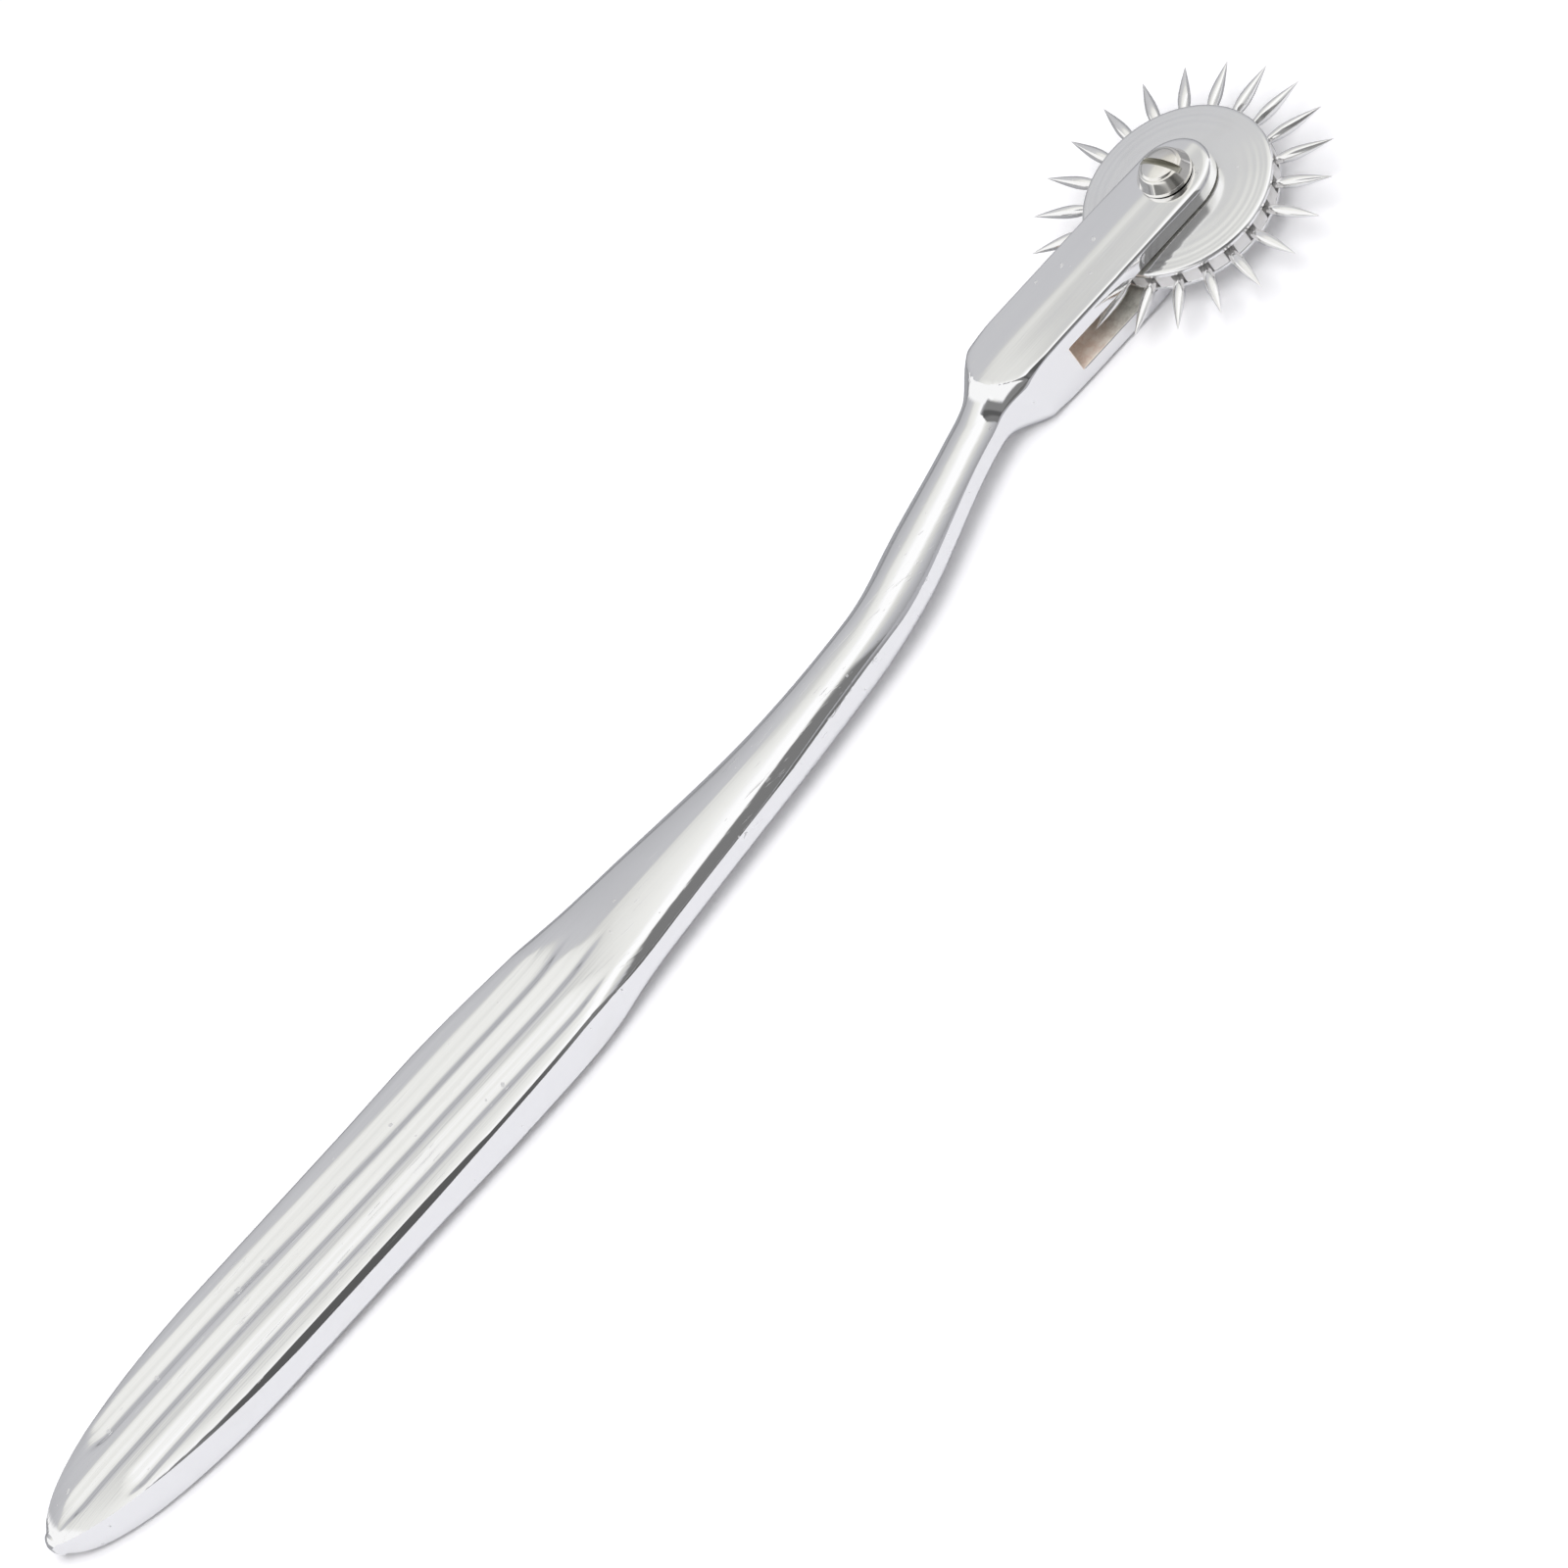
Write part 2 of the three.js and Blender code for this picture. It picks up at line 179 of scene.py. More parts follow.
def placed(name: str, data: bpy.types.ID) -> bpy.types.Object:
    """Makes an object and puts it in the scene.

    Args:
        name: Name of the object.
        data: Its mesh, lamp or camera.

    Returns:
        The object.
    """
    made = bpy.data.objects.new(name, data)
    bpy.context.scene.collection.objects.link(made)
    return made


def finish_piece(
    name: str, mesh: bpy.types.Mesh, finish: bpy.types.Material, body: str, node: str
) -> bpy.types.Object:
    """Puts a mesh in the scene in place of a node of the frame.

    Args:
        name: Name of the piece.
        mesh: Its mesh, in place.
        finish: Its material.
        body: The body that it rides on.
        node: The node of the frame that it stands for.

    Returns:
        The new object.
    """
    piece = placed(name, mesh)
    mesh.materials.append(finish)
    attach(piece, body)
    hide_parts(node)
    log.info("%s: %d faces on %s for %s", name, len(mesh.polygons), body, node)
    return piece


def carve(piece: bpy.types.Object, cutter: Shell, sharp_deg: float) -> None:
    """Takes a closed shape out of a piece and keeps the result as its mesh.

    Args:
        piece: The piece to be cut.
        cutter: The shape that is taken away.
        sharp_deg: Edges that turn by more than this stay crisp.
    """
    shape = cutter.mesh("cutter", sharp_deg)
    tool = placed("cutter", shape)
    cut = piece.modifiers.new("cut", "BOOLEAN")
    cut.operation, cut.solver, cut.object = "DIFFERENCE", "EXACT", tool
    seen = bpy.context.evaluated_depsgraph_get()
    made = bpy.data.meshes.new_from_object(piece.evaluated_get(seen))
    piece.modifiers.remove(cut)
    old, piece.data = piece.data, made
    bpy.data.objects.remove(tool)
    bpy.data.meshes.remove(shape)
    bpy.data.meshes.remove(old)
    made.shade_smooth()
    made.set_sharp_from_angle(angle=math.radians(sharp_deg))


# ---- Node trees ----


@dataclass(frozen=True)
class Pattern:
    """Cloudy noise on a piece's own coordinates, stretched and turned about the upright axis.

    With a cut it is a mask, 0 below the cut's first level and 1 above its second.
    """

    scale: float
    detail: float
    rough: float = 0.5
    stretch: Triple = (1.0, 1.0, 1.0)
    turn: float = 0.0
    cut: Span | None = None


class Graph:
    """A node tree written as plain sums, where a value is a socket, a number or a colour."""

    def __init__(self, tree: bpy.types.NodeTree) -> None:
        """Empties the tree and takes it over."""
        self.tree = tree
        tree.nodes.clear()

    def feed(self, socket: Socket, value: object) -> None:
        """Links a socket to a value's output, or sets it where the value is plain.

        Args:
            socket: The input.
            value: What it takes.
        """
        if isinstance(value, Socket):
            self.tree.links.new(value, socket)
        else:
            socket.default_value = value

    def node(self, kind: str, *given: object, **settings: object) -> bpy.types.Node:
        """Adds a node.

        Args:
            kind: Its type.
            given: Values of its first inputs, in order.
            settings: Its properties.

        Returns:
            The node.
        """
        made = self.tree.nodes.new(kind)
        for key, value in settings.items():
            setattr(made, key, value)
        for socket, value in zip(made.inputs, given):
            self.feed(socket, value)
        return made

    def maths(self, kind: str, *values: object, clamp: bool = False) -> Socket:
        """One step of arithmetic on numbers."""
        return self.node("ShaderNodeMath", *values, operation=kind, use_clamp=clamp).outputs[0]

    def add(self, a: object, b: object, clamp: bool = False) -> Socket:
        """Sum of two numbers."""
        return self.maths("ADD", a, b, clamp=clamp)

    def less(self, a: object, b: object) -> Socket:
        """First number less the second."""
        return self.maths("SUBTRACT", a, b)

    def times(self, a: object, b: object) -> Socket:
        """Product of two numbers."""
        return self.maths("MULTIPLY", a, b)

    def step(
        self, value: object, low: float, high: float, first: float = 0.0, last: float = 1.0
    ) -> Socket:
        """Smooth step of a value from first at low to last at high."""
        ends = (value, low, high, first, last)
        return self.node("ShaderNodeMapRange", *ends, interpolation_type="SMOOTHSTEP").outputs[0]

    def mix(self, share: object, a: object, b: object) -> Socket:
        """Mixes two colours.

        Args:
            share: Share of the second.
            a: The first.
            b: The second.

        Returns:
            The mixed colour.
        """
        made = self.node("ShaderNodeMix", share, data_type="RGBA")
        for socket, value in zip(made.inputs[6:8], (a, b)):
            self.feed(socket, (*value, 1.0) if isinstance(value, tuple) else value)
        return made.outputs[2]

    def brighten(self, colour: Socket, more: Socket) -> Socket:
        """A colour with a number added to each of its parts."""
        return self.node("ShaderNodeVectorMath", colour, more, operation="ADD").outputs[0]

    def ramp(self, value: Socket, stops: list[tuple[float, Triple]]) -> Socket:
        """Reads a colour off a scale.

        Args:
            value: Place on the scale, from 0 to 1.
            stops: Places on it in order, each with its colour.

        Returns:
            The colour.
        """
        made = self.node("ShaderNodeValToRGB")
        bar = made.color_ramp
        while len(bar.elements) < len(stops):
            bar.elements.new(0.5)
        for mark, (place, colour) in zip(bar.elements, stops):
            mark.position, mark.color = place, (*colour, 1.0)
        self.feed(made.inputs[0], value)
        return made.outputs[0]

    def noise(self, pattern: Pattern) -> Socket:
        """Draws a pattern.

        Args:
            pattern: What is drawn.

        Returns:
            Its noise, about 0.5 on average, or its mask where it has a cut.
        """
        place = self.node("ShaderNodeMapping")
        place.inputs["Rotation"].default_value = (0.0, 0.0, pattern.turn)
        place.inputs["Scale"].default_value = pattern.stretch
        self.feed(place.inputs["Vector"], self.node("ShaderNodeTexCoord").outputs["Object"])
        made = self.node("ShaderNodeTexNoise")
        self.feed(made.inputs["Vector"], place.outputs[0])
        made.inputs["Scale"].default_value = pattern.scale
        made.inputs["Detail"].default_value = pattern.detail
        made.inputs["Roughness"].default_value = pattern.rough
        return self.step(made.outputs[0], *pattern.cut) if pattern.cut else made.outputs[0]

    def axes(self, source: str = "Object") -> tuple[Socket, ...]:
        """Coordinates as three numbers: a piece's own in metres, or another kind of them."""
        where = self.node("ShaderNodeTexCoord").outputs[source]
        return tuple(self.node("ShaderNodeSeparateXYZ", where).outputs)

    def bump(self, height: Socket, distance: float, under: Socket | None = None) -> Socket:
        """Bends the normal.

        Args:
            height: Height of the surface, as a share.
            distance: What a whole share stands for, in metres.
            under: Another bump that lies below this one.

        Returns:
            The bent normal.
        """
        made = self.node("ShaderNodeBump")
        made.inputs["Distance"].default_value = distance
        self.feed(made.inputs["Height"], height)
        if under is not None:
            self.feed(made.inputs["Normal"], under)
        return made.outputs[0]


# ---- Finishes ----

LONG_HAIRS = Pattern(1.0, 3.0, 0.6, (90.0, 3200.0, 1600.0), 0.10, (0.62, 0.70))
CROSS_HAIRS = Pattern(1.0, 2.0, 0.6, (300.0, 4200.0, 1600.0), -0.62, (0.66, 0.73))
HAIR_PATCHES = Pattern(95.0, 2.0, cut=(0.42, 0.66))
SPECKS = Pattern(850.0, 1.0, cut=(0.755, 0.785))
CLOUDS = Pattern(110.0, 4.0, 0.6, (1.0, 1.6, 1.6))
GRAIN = Pattern(900.0, 4.0, 0.65, cut=(0.35, 0.65))
GRINDING = Pattern(1.0, 3.0, 0.65, (45.0, 2200.0, 700.0))


class Wear(Enum):
    """How a steel surface has been worn."""

    HANDLED = 1.0
    TURNED = 0.6
    SHELTERED = 0.3


@dataclass(frozen=True)
class SlotFilm:
    """Brown oxide on the walls of the wheel's slot at the heel, and a darker grey farther on.

    It lies where the height from the slot's middle is less than the slot's own, past the slot's
    end wall. Lengths are in metres in the part's frame, and each pair of colours is the film's
    darkest and lightest.
    """

    middle: float = 0.0037
    height_span: Span = (0.00174, 0.00170)
    wall_span: Span = (0.0555, 0.0556)
    grey_span: Span = (0.0560, 0.0630)
    brown: tuple[Triple, Triple] = ((0.84, 0.68, 0.58), (0.97, 0.88, 0.79))
    grey: tuple[Triple, Triple] = ((0.42, 0.41, 0.37), (0.62, 0.61, 0.56))
    roughness: float = 0.3
    hides_metal: bool = True

    def cover(self, g: Graph) -> tuple[Socket, Socket]:
        """Draws the film.

        Args:
            g: The steel's node tree.

        Returns:
            The share of it at each point, and its colour.
        """
        x, _, z = g.axes()
        off = g.maths("ABSOLUTE", g.less(z, self.middle))
        share = g.times(g.step(off, *self.height_span), g.step(x, *self.wall_span))
        grain = g.noise(GRAIN)
        brown, grey = g.mix(grain, *self.brown), g.mix(grain, *self.grey)
        return share, g.mix(g.step(x, *self.grey_span), brown, grey)


@dataclass(frozen=True)
class DriverSlotShade:
    """Painted shade in the screw's driver slot: its recess is coloured a dull, darker grey and made
    rougher.

    It lies within the slot's half width of a line through the axle, and above a height. Lengths
    are in metres in the part's frame.
    """

    width_span: Span = (0.00036, 0.00030)
    height_span: Span = (0.0085, 0.0086)
    # Painted shade: the darker grey laid over the slot's recess.
    colour: Triple = (0.46, 0.45, 0.40)
    roughness: float = 0.25
    hides_metal: bool = False

    def cover(self, g: Graph) -> tuple[Socket, Triple]:
        """Draws the painted shade.

        Args:
            g: The steel's node tree.

        Returns:
            The share of it at each point, and its colour.
        """
        x, y, z = g.axes()
        at_x, at_y = ((place + shift) * MM for place, shift in zip(AXLE, PLAN_SHIFT))
        across = g.times(g.less(x, at_x), -math.sin(DRIVER_TURN))
        across = g.add(across, g.times(g.less(y, at_y), math.cos(DRIVER_TURN)))
        share = g.step(g.maths("ABSOLUTE", across), *self.width_span)
        return g.times(share, g.step(z, *self.height_span)), self.colour


@dataclass(frozen=True)
class Steel:
    """A bright steel with polishing waves, grinding lines, hairline scratches, specks and stains.

    Lengths are in metres, and the stains' colour is laid over the metal's own. Metal is 1 for
    bare bright steel and less where a dull film lies on it. A cut gives the levels of the clouds
    between which stain or roughness grows, and the grinding lines grow along x from a low share.
    """

    name: str
    colour: Triple
    stain: Triple
    stain_share: float
    roughness: float
    roughness_spread: float
    wave_height: float
    wave_stretch: Triple
    scratch_height: float
    wear: Wear
    metal: float = 1.0
    grind_height: float = 0.0
    film_and_shade: SlotFilm | DriverSlotShade | None = None
    stain_cut: Span = (0.5, 0.78)
    rough_cut: Span = (0.3, 0.75)
    hair_roughness: float = 0.32
    speck_roughness: float = 0.7
    grind_span: Span = (-0.010, -0.024)
    grind_shares: Span = (0.3, 1.0)

    def material(self) -> bpy.types.Material:
        """Builds the material.

        Returns:
            A metal whose colour, roughness and bump all vary over the surface.
        """
        made = bpy.data.materials.new(self.name)
        made.use_nodes = True
        g = Graph(made.node_tree)
        metal = g.node("ShaderNodeBsdfPrincipled")
        metal.inputs["Metallic"].default_value = self.metal
        g.node("ShaderNodeOutputMaterial", metal.outputs[0])

        hairs = g.maths("MAXIMUM", g.noise(LONG_HAIRS), g.noise(CROSS_HAIRS))
        hairs = g.times(g.times(hairs, g.noise(HAIR_PATCHES)), self.wear.value)
        specks, clouds = g.noise(SPECKS), g.noise(CLOUDS)
        stained = g.times(g.step(clouds, *self.stain_cut), self.stain_share)
        colour = g.mix(stained, self.colour, self.stain)
        most = self.roughness + self.roughness_spread
        rough = g.step(clouds, *self.rough_cut, self.roughness, most)
        rough = g.add(rough, g.times(hairs, self.hair_roughness))
        pits = g.times(specks, self.speck_roughness * self.wear.value)
        rough = g.add(rough, pits, clamp=True)
        if self.film_and_shade:
            share, tone = self.film_and_shade.cover(g)
            colour = g.mix(share, colour, tone)
            rough = g.add(rough, g.times(share, self.film_and_shade.roughness))
            if self.film_and_shade.hides_metal:
                g.feed(metal.inputs["Metallic"], g.less(self.metal, share))
        g.feed(metal.inputs["Base Color"], colour)
        g.feed(metal.inputs["Roughness"], rough)

        waves = g.noise(Pattern(1.0, 1.0, stretch=self.wave_stretch))
        bent = g.bump(waves, self.wave_height)
        if self.grind_height:
            share = g.step(g.axes()[0], *self.grind_span, *self.grind_shares)
            bent = g.bump(g.times(g.noise(GRINDING), share), self.grind_height, bent)
        bent = g.bump(g.add(hairs, specks), self.scratch_height, bent)
        g.feed(metal.inputs["Normal"], bent)
        return made


FORGED = Steel(
    name="polished_steel", colour=(0.955, 0.955, 0.96), stain=(0.80, 0.79, 0.75),
    stain_share=0.15, roughness=0.025, roughness_spread=0.05, wave_height=0.00005,
    wave_stretch=(55.0, 300.0, 300.0), scratch_height=0.000007, wear=Wear.HANDLED,
    grind_height=0.000018, film_and_shade=SlotFilm(),
)
SCREW = Steel(
    name="screw_steel", colour=(0.95, 0.94, 0.91), stain=(0.50, 0.44, 0.36),
    stain_share=0.4, roughness=0.06, roughness_spread=0.08, wave_height=0.000025,
    wave_stretch=(420.0, 420.0, 420.0), scratch_height=0.000002, wear=Wear.TURNED,
    film_and_shade=DriverSlotShade(),
)
DISC = Steel(
    name="disc_steel", colour=(0.95, 0.95, 0.95), stain=(0.78, 0.77, 0.75),
    stain_share=0.2, roughness=0.11, roughness_spread=0.08, wave_height=0.00004,
    wave_stretch=(160.0, 160.0, 160.0), scratch_height=0.000001, wear=Wear.HANDLED,
    metal=0.93,
)
RING = Steel(
    name="ring_steel", colour=(0.86, 0.85, 0.84), stain=(0.62, 0.60, 0.55),
    stain_share=0.6, roughness=0.34, roughness_spread=0.2, wave_height=0.00003,
    wave_stretch=(900.0, 900.0, 900.0), scratch_height=0.000004, wear=Wear.SHELTERED,
    metal=0.2,
)
PIN = Steel(
    name="pin_steel", colour=(0.97, 0.965, 0.96), stain=(0.74, 0.72, 0.66),
    stain_share=0.2, roughness=0.06, roughness_spread=0.07, wave_height=0.00001,
    wave_stretch=(700.0, 700.0, 700.0), scratch_height=0.000001, wear=Wear.TURNED,
    metal=0.9,
)


# ---- The handle ----


@dataclass(frozen=True)
class Flute:
    """A groove along the blade, given by its two banks, its lowest line, depth and reach."""

    far_bank: float
    lowest: float
    near_bank: float
    depth: float
    start: float
    end: float
    drift: float
    drift_span: Span = (22.0, 52.0)
    far_drift_share: float = 0.5
    run_in: float = 3.0
    run_out: float = 7.0
    end_softness: float = 0.04
    doubled: float = 0.55

    def cut(self, x: Array, y: Array) -> Array:
        """Depth of the groove.

        Across it the depth steps up from each bank to the lowest line. The far bank's step is a
        smooth one mixed with two smaller ones, one behind the other, so that its light stripe is
        a double one. Where the groove runs out, the whole cross profile sinks below the face, so
        that the groove narrows to a point. On its way along the blade the groove drifts across,
        its far bank half as much as the rest.

        Args:
            x: Stations, as a column.
            y: Places across, as a grid.

        Returns:
            Depth at each point, in mm.
        """
        drift = self.drift * rise(x, *self.drift_span)
        y = y - drift
        width = self.far_bank - self.lowest - self.far_drift_share * drift
        share = np.clip((y - self.lowest) / width, 0.0, 1.0)
        pair = 0.5 * (ease(2.0 * share) + ease(2.0 * share - 1.0))
        far = 1.0 - lerp(ease(share), pair, self.doubled)
        near = 1.0 - ease((self.lowest - y) / (self.lowest - self.near_bank))
        across = np.where(y > self.lowest, far, near)
        full = rise(x, self.start, self.start + self.run_in)
        full = full * (1.0 - rise(x, self.end - self.run_out, self.end))
        return self.depth * full * soft_ramp(across - 1.0 + full, self.end_softness)


@dataclass
class ForgedHandle:
    """The one-piece forging: fluted blade, taper, bent shank, shoulder and the two cheeks."""

    # The blade and its nose.
    blade_width: float = 14.1
    blade_thickness: float = 5.2
    blade_crown: float = 0.65
    crown_edge_share: float = 0.93
    face_crown: float = 0.25
    nose_length: float = 31.0
    nose_fullness: float = 2.4
    nose_width_power: float = 0.58
    nose_thickness_power: float = 0.32
    nub_length: float = 0.45
    nub_radius: float = 0.95
    flutes: tuple[Flute, ...] = (
        Flute(5.3, 3.05, 2.1, depth=0.45, start=8.1, end=75.0, drift=-0.95),
        Flute(1.4, -0.5, -1.38, depth=0.36, start=0.6, end=77.0, drift=-0.45, run_in=5.0),
        Flute(-2.35, -4.05, -4.9, depth=0.33, start=7.6, end=75.0, drift=-0.3),
    )
    land_width: float = 1.1
    land_roll: float = 0.13
    land_span: Span = (3.0, 14.0)
    # The blade's bevel, and the wide round that takes over from it.
    edge_across: float = 0.34
    edge_down: float = 0.56
    far_corner: float = 0.16
    near_corner: float = 0.05
    bevel_start: float = 10.0
    bevel_reach: float = 19.0
    bevel_loss: float = 0.5
    bevel_loss_span: Span = (44.0, 57.0)
    least_bevel: float = 0.001
    roll: float = 1.5
    roll_span: Span = (67.5, 76.0)
    # The taper and the domed shank.
    taper_span: Span = (53.0, 113.0)
    dome_span: Span = (63.8, 98.0)
    dome_powers: Span = (2.6, 2.05)
    dome_power_span: Span = (109.0, 118.0)
    taper_flat: float = 1.08
    bend_flat: float = 0.72
    neck_flat: float = 0.9
    bend_flat_span: Span = (92.0, 106.0)
    neck_flat_span: Span = (114.0, 124.0)
    widest_flat: float = 0.9
    gable: float = 0.06
    gable_line: float = 0.02
    gable_softness: float = 0.03
    gable_return: float = 0.3
    gable_span: Span = (71.0, 79.0)
    gable_end_span: Span = (92.0, 106.0)
    shank_diameter: float = 5.4
    bend_diameter: float = 5.7
    neck_diameter: float = 4.7
    swell_span: Span = (113.0, 119.6)
    neck_span: Span = (119.6, 131.975)
    # The bend of the middle line.
    bend_start: float = 86.42
    bend_end: float = 142.5
    bend_lateness: float = 1.72
    sways: tuple[Triple, ...] = ((68.0, 8.0, -0.28), (115.0, 6.5, -0.42))
    slope_reach: float = 1.5
    # The fork.
    shoulder_span: Span = (135.6, 140.5)
    level_span: Span = (140.5, 145.6)
    fork_width: float = 8.4
    fork_top: float = 3.7
    fork_nose: float = 4.6
    fork_edge: float = 0.38
    nose_edge: float = 0.66
    nose_edge_span: Span = (157.0, AXLE[0])
    heel_edge: float = 0.5
    heel_edge_span: Span = (143.6, 139.5)
    least_edge: float = 0.05
    straight_share: float = 0.3
    tongue_start: float = 133.9
    tongue_end: float = 137.8
    tongue_arc: float = 0.15
    far_facet: float = 0.035
    near_facet: float = 0.028
    heel_facet: float = 0.078
    heel_facet_span: Span = (138.0, 148.0)
    ridge_step: float = 0.078
    ridge_far: float = 0.35
    ridge_near: float = -0.55
    ridge_softness: float = 0.3
    slot_start: float = 145.6
    slot_top: float = 1.7
    slot_edge: float = 0.1
    slot_edge_reach: float = 0.2
    # Radius, lowest and highest point of the screw's hole in each cheek.
    holes: tuple[Triple, ...] = ((1.55, 1.0, 5.0), (1.35, -5.0, -1.0))
    hole_sides: int = 96
    # How finely the surface is divided.
    face_columns: int = 44
    edge_columns: int = 11
    edge_band: float = 0.062
    edge_power: float = 1.5
    flat_columns: int = 25
    body_runs: tuple[tuple[float, int], ...] = (
        (34.0, 84), (62.0, 26), (84.0, 56), (134.0, 66), (145.6, 44),
    )
    mouth_steps: tuple[float, ...] = (0.0, 0.02, 0.05, 0.09, 0.14, 0.2, 0.4, 0.8)
    slot_round: tuple[float, ...] = (0.0, 0.38, 0.7, 1.0)
    cheek_start: float = 1.6
    cheek_rows: int = 18
    round_rows: int = 40
    wall_levels: tuple[float, ...] = (0.75, 0.5, 0.25, 0.0, -0.25, -0.5, -0.75)
    sharp_deg: float = 24.0

    # -- the forging's measures along x --

    def centre(self, x: Array) -> Array:
        """Sideways offset of the middle line.

        It is a smooth step whose share is raised to a power, and two shallow bell-shaped sways,
        each with its place, its reach and its size.

        Args:
            x: Stations.

        Returns:
            Offset at each station.
        """
        share = np.clip((x - self.bend_start) / (self.bend_end - self.bend_start), 0.0, 1.0)
        sway = sum(size * np.exp(-(((x - at) / reach) ** 2)) for at, reach, size in self.sways)
        return AXLE[1] * ease(share**self.bend_lateness) + sway

    def slope(self, x: Array) -> Array:
        """Slope of the middle line, from its offsets a little before and after."""
        reach = self.slope_reach
        return (self.centre(x + reach) - self.centre(x - reach)) / (2.0 * reach)

    def nose(self, x: Array, power: float, full: float) -> Array:
        """Half a size near the tip: a fast-growing nose that starts from a small round nub.

        The nose's growth is 1 less a falling power of the share along it, raised to a power. The
        nub is an arc of a circle.

        Args:
            x: Stations.
            power: How slowly the nose grows.
            full: The whole size behind it.

        Returns:
            Half the size at each station.
        """
        share = np.clip((x - self.nub_length) / self.nose_length, 0.0, 1.0)
        growth = 1.0 - (1.0 - share) ** self.nose_fullness
        deep = np.clip(x, 0.0, self.nub_radius)
        nub = np.sqrt(deep * (2.0 * self.nub_radius - deep))
        return np.maximum(growth**power * full / 2.0, nub)

    def shank_radius(self, x: Array) -> Array:
        """Radius of the round shank, which swells at the bend and draws in at the neck."""
        swell = lerp(self.shank_diameter, self.bend_diameter, rise(x, *self.swell_span))
        return lerp(swell, self.neck_diameter, rise(x, *self.neck_span)) / 2.0

    def bar(self, x: Array, power: float, full: float) -> Array:
        """Half a size of the blade and the shank: the nose runs into the shank over the taper."""
        nose = self.nose(x, power, full)
        return lerp(nose, self.shank_radius(x), rise(x, *self.taper_span))

    def half_width(self, x: Array) -> Array:
        """Half the width of the forging.

        The bar runs into the fork over the shoulder. The fork's half width shrinks at its end as
        the root of 1 less the share's square.

        Args:
            x: Stations.

        Returns:
            Half the width at each station.
        """
        bar = self.bar(x, self.nose_width_power, self.blade_width)
        past = np.clip((x - AXLE[0]) / self.fork_nose, 0.0, 1.0)
        fork = self.fork_width / 2.0 * np.sqrt(1.0 - past**2)
        return lerp(bar, fork, rise(x, *self.shoulder_span))

    def side_flat(self, x: Array) -> Array:
        """Half the height of the ground flat on each side of the domed shank."""
        early = lerp(self.taper_flat, self.bend_flat, rise(x, *self.bend_flat_span))
        return lerp(early, self.neck_flat, rise(x, *self.neck_flat_span))

    # -- the upper face, which the lower one mirrors --

    def edge_distance(self, x: Array, y: Array, half: Array) -> Array:
        """Distance from the outline, measured square to it also round the fork's elliptical end.

        On the end it is (1 - q) q over the length of q's slope, where q is the point's share of
        the ellipse.

        Args:
            x: Stations, as a column.
            y: Places across, as a grid.
            half: Half widths, as a column.

        Returns:
            Distance at each point.
        """
        straight = half - np.abs(y)
        past = np.maximum(x - AXLE[0], 0.0)
        a, b = self.fork_nose, self.fork_width / 2.0
        q = np.sqrt((past / a) ** 2 + (y / b) ** 2)
        slope = np.sqrt((past / a**2) ** 2 + (y / b**2) ** 2)
        round_end = np.maximum(1.0 - q, 0.0) * q / np.maximum(slope, TINY)
        return np.where((x > AXLE[0]) & (q > self.straight_share), round_end, straight)

    def edge_fall(self, x: Array, y: Array, away: Array, half: Array) -> Array:
        """Height lost near the outline.

        The blade has a steep bevel that grows from nothing near the tip and narrows again before
        the taper, where a wide quarter round takes over. Its corner is softer on the far side.
        The fork has a quarter round, wide where the shoulder meets it and round its end.

        Args:
            x: Stations, as a column.
            y: Places across, as a grid.
            away: Distance of each point from the outline.
            half: Half widths, as a column.

        Returns:
            Fall at each point.
        """
        size = np.clip((x - self.bevel_start) / self.bevel_reach, 0.0, 1.0)
        size = size * (1.0 - self.bevel_loss * rise(x, *self.bevel_loss_span))
        rolled = rise(x, *self.roll_span)
        size = size * (1.0 - rolled)
        across, down = self.edge_across * size + self.least_bevel, self.edge_down * size
        corner = np.where(y > 0.0, self.far_corner, self.near_corner) * size
        bevel = down / across * soft_ramp(across - away, corner)
        bar = bevel + rolled * quarter_round(self.roll, away)
        r = lerp(self.fork_edge, self.nose_edge, rise(x, *self.nose_edge_span))
        r = r + self.heel_edge * rise(x, *self.heel_edge_span)
        r = np.where(x < AXLE[0], np.minimum(r, np.maximum(half, self.least_edge)), r)
        return lerp(bar, quarter_round(r, away), rise(x, *self.shoulder_span))

    def blade_face(
        self, x: Array, share: Array, half: Array, thick: Array, away: Array
    ) -> Array:
        """Height of the blade's nearly flat face, before its edges fall.

        It lies at the height that a crowned face has near its edge, with a slight crown of its
        own, less the flutes and the square of what is left of each land beside the edge.

        Args:
            x: Stations, as a column.
            share: Shares of the half width, as a row.
            half: Half widths, as a column.
            thick: Half thicknesses, as a column.
            away: Distance of each point from the outline.

        Returns:
            Height at each point.
        """
        crown = self.blade_crown * (1.0 - rise(x, *self.taper_span))
        level = thick - crown * (self.crown_edge_share * 2.0 * half / self.blade_width) ** 2
        cuts = sum(flute.cut(x, half * share) for flute in self.flutes)
        land = np.clip(self.land_width - away, 0.0, self.land_width) ** 2
        face = level + self.face_crown * (1.0 - share**2)
        return face - cuts - self.land_roll * land * rise(x, *self.land_span)

    def dome(self, x: Array, share: Array, thick: Array) -> Array:
        """Height of the shank's dome.

        It is half of a full ellipse that is a little wider than the forging, so that it ends at
        the side flats. The ellipse's power is 2 where it is round and more where its top is
        flatter.

        Args:
            x: Stations, as a column.
            share: Shares of the half width, as a row.
            thick: Half thicknesses, as a column.

        Returns:
            Height at each point.
        """
        flat = np.minimum(self.side_flat(x) / np.maximum(thick, TINY), self.widest_flat)
        power = lerp(*self.dome_powers, rise(x, *self.dome_power_span))
        dome = 1.0 - np.abs(share) ** power * (1.0 - flat**power)
        return thick * np.maximum(dome, 0.0) ** (1.0 / power)

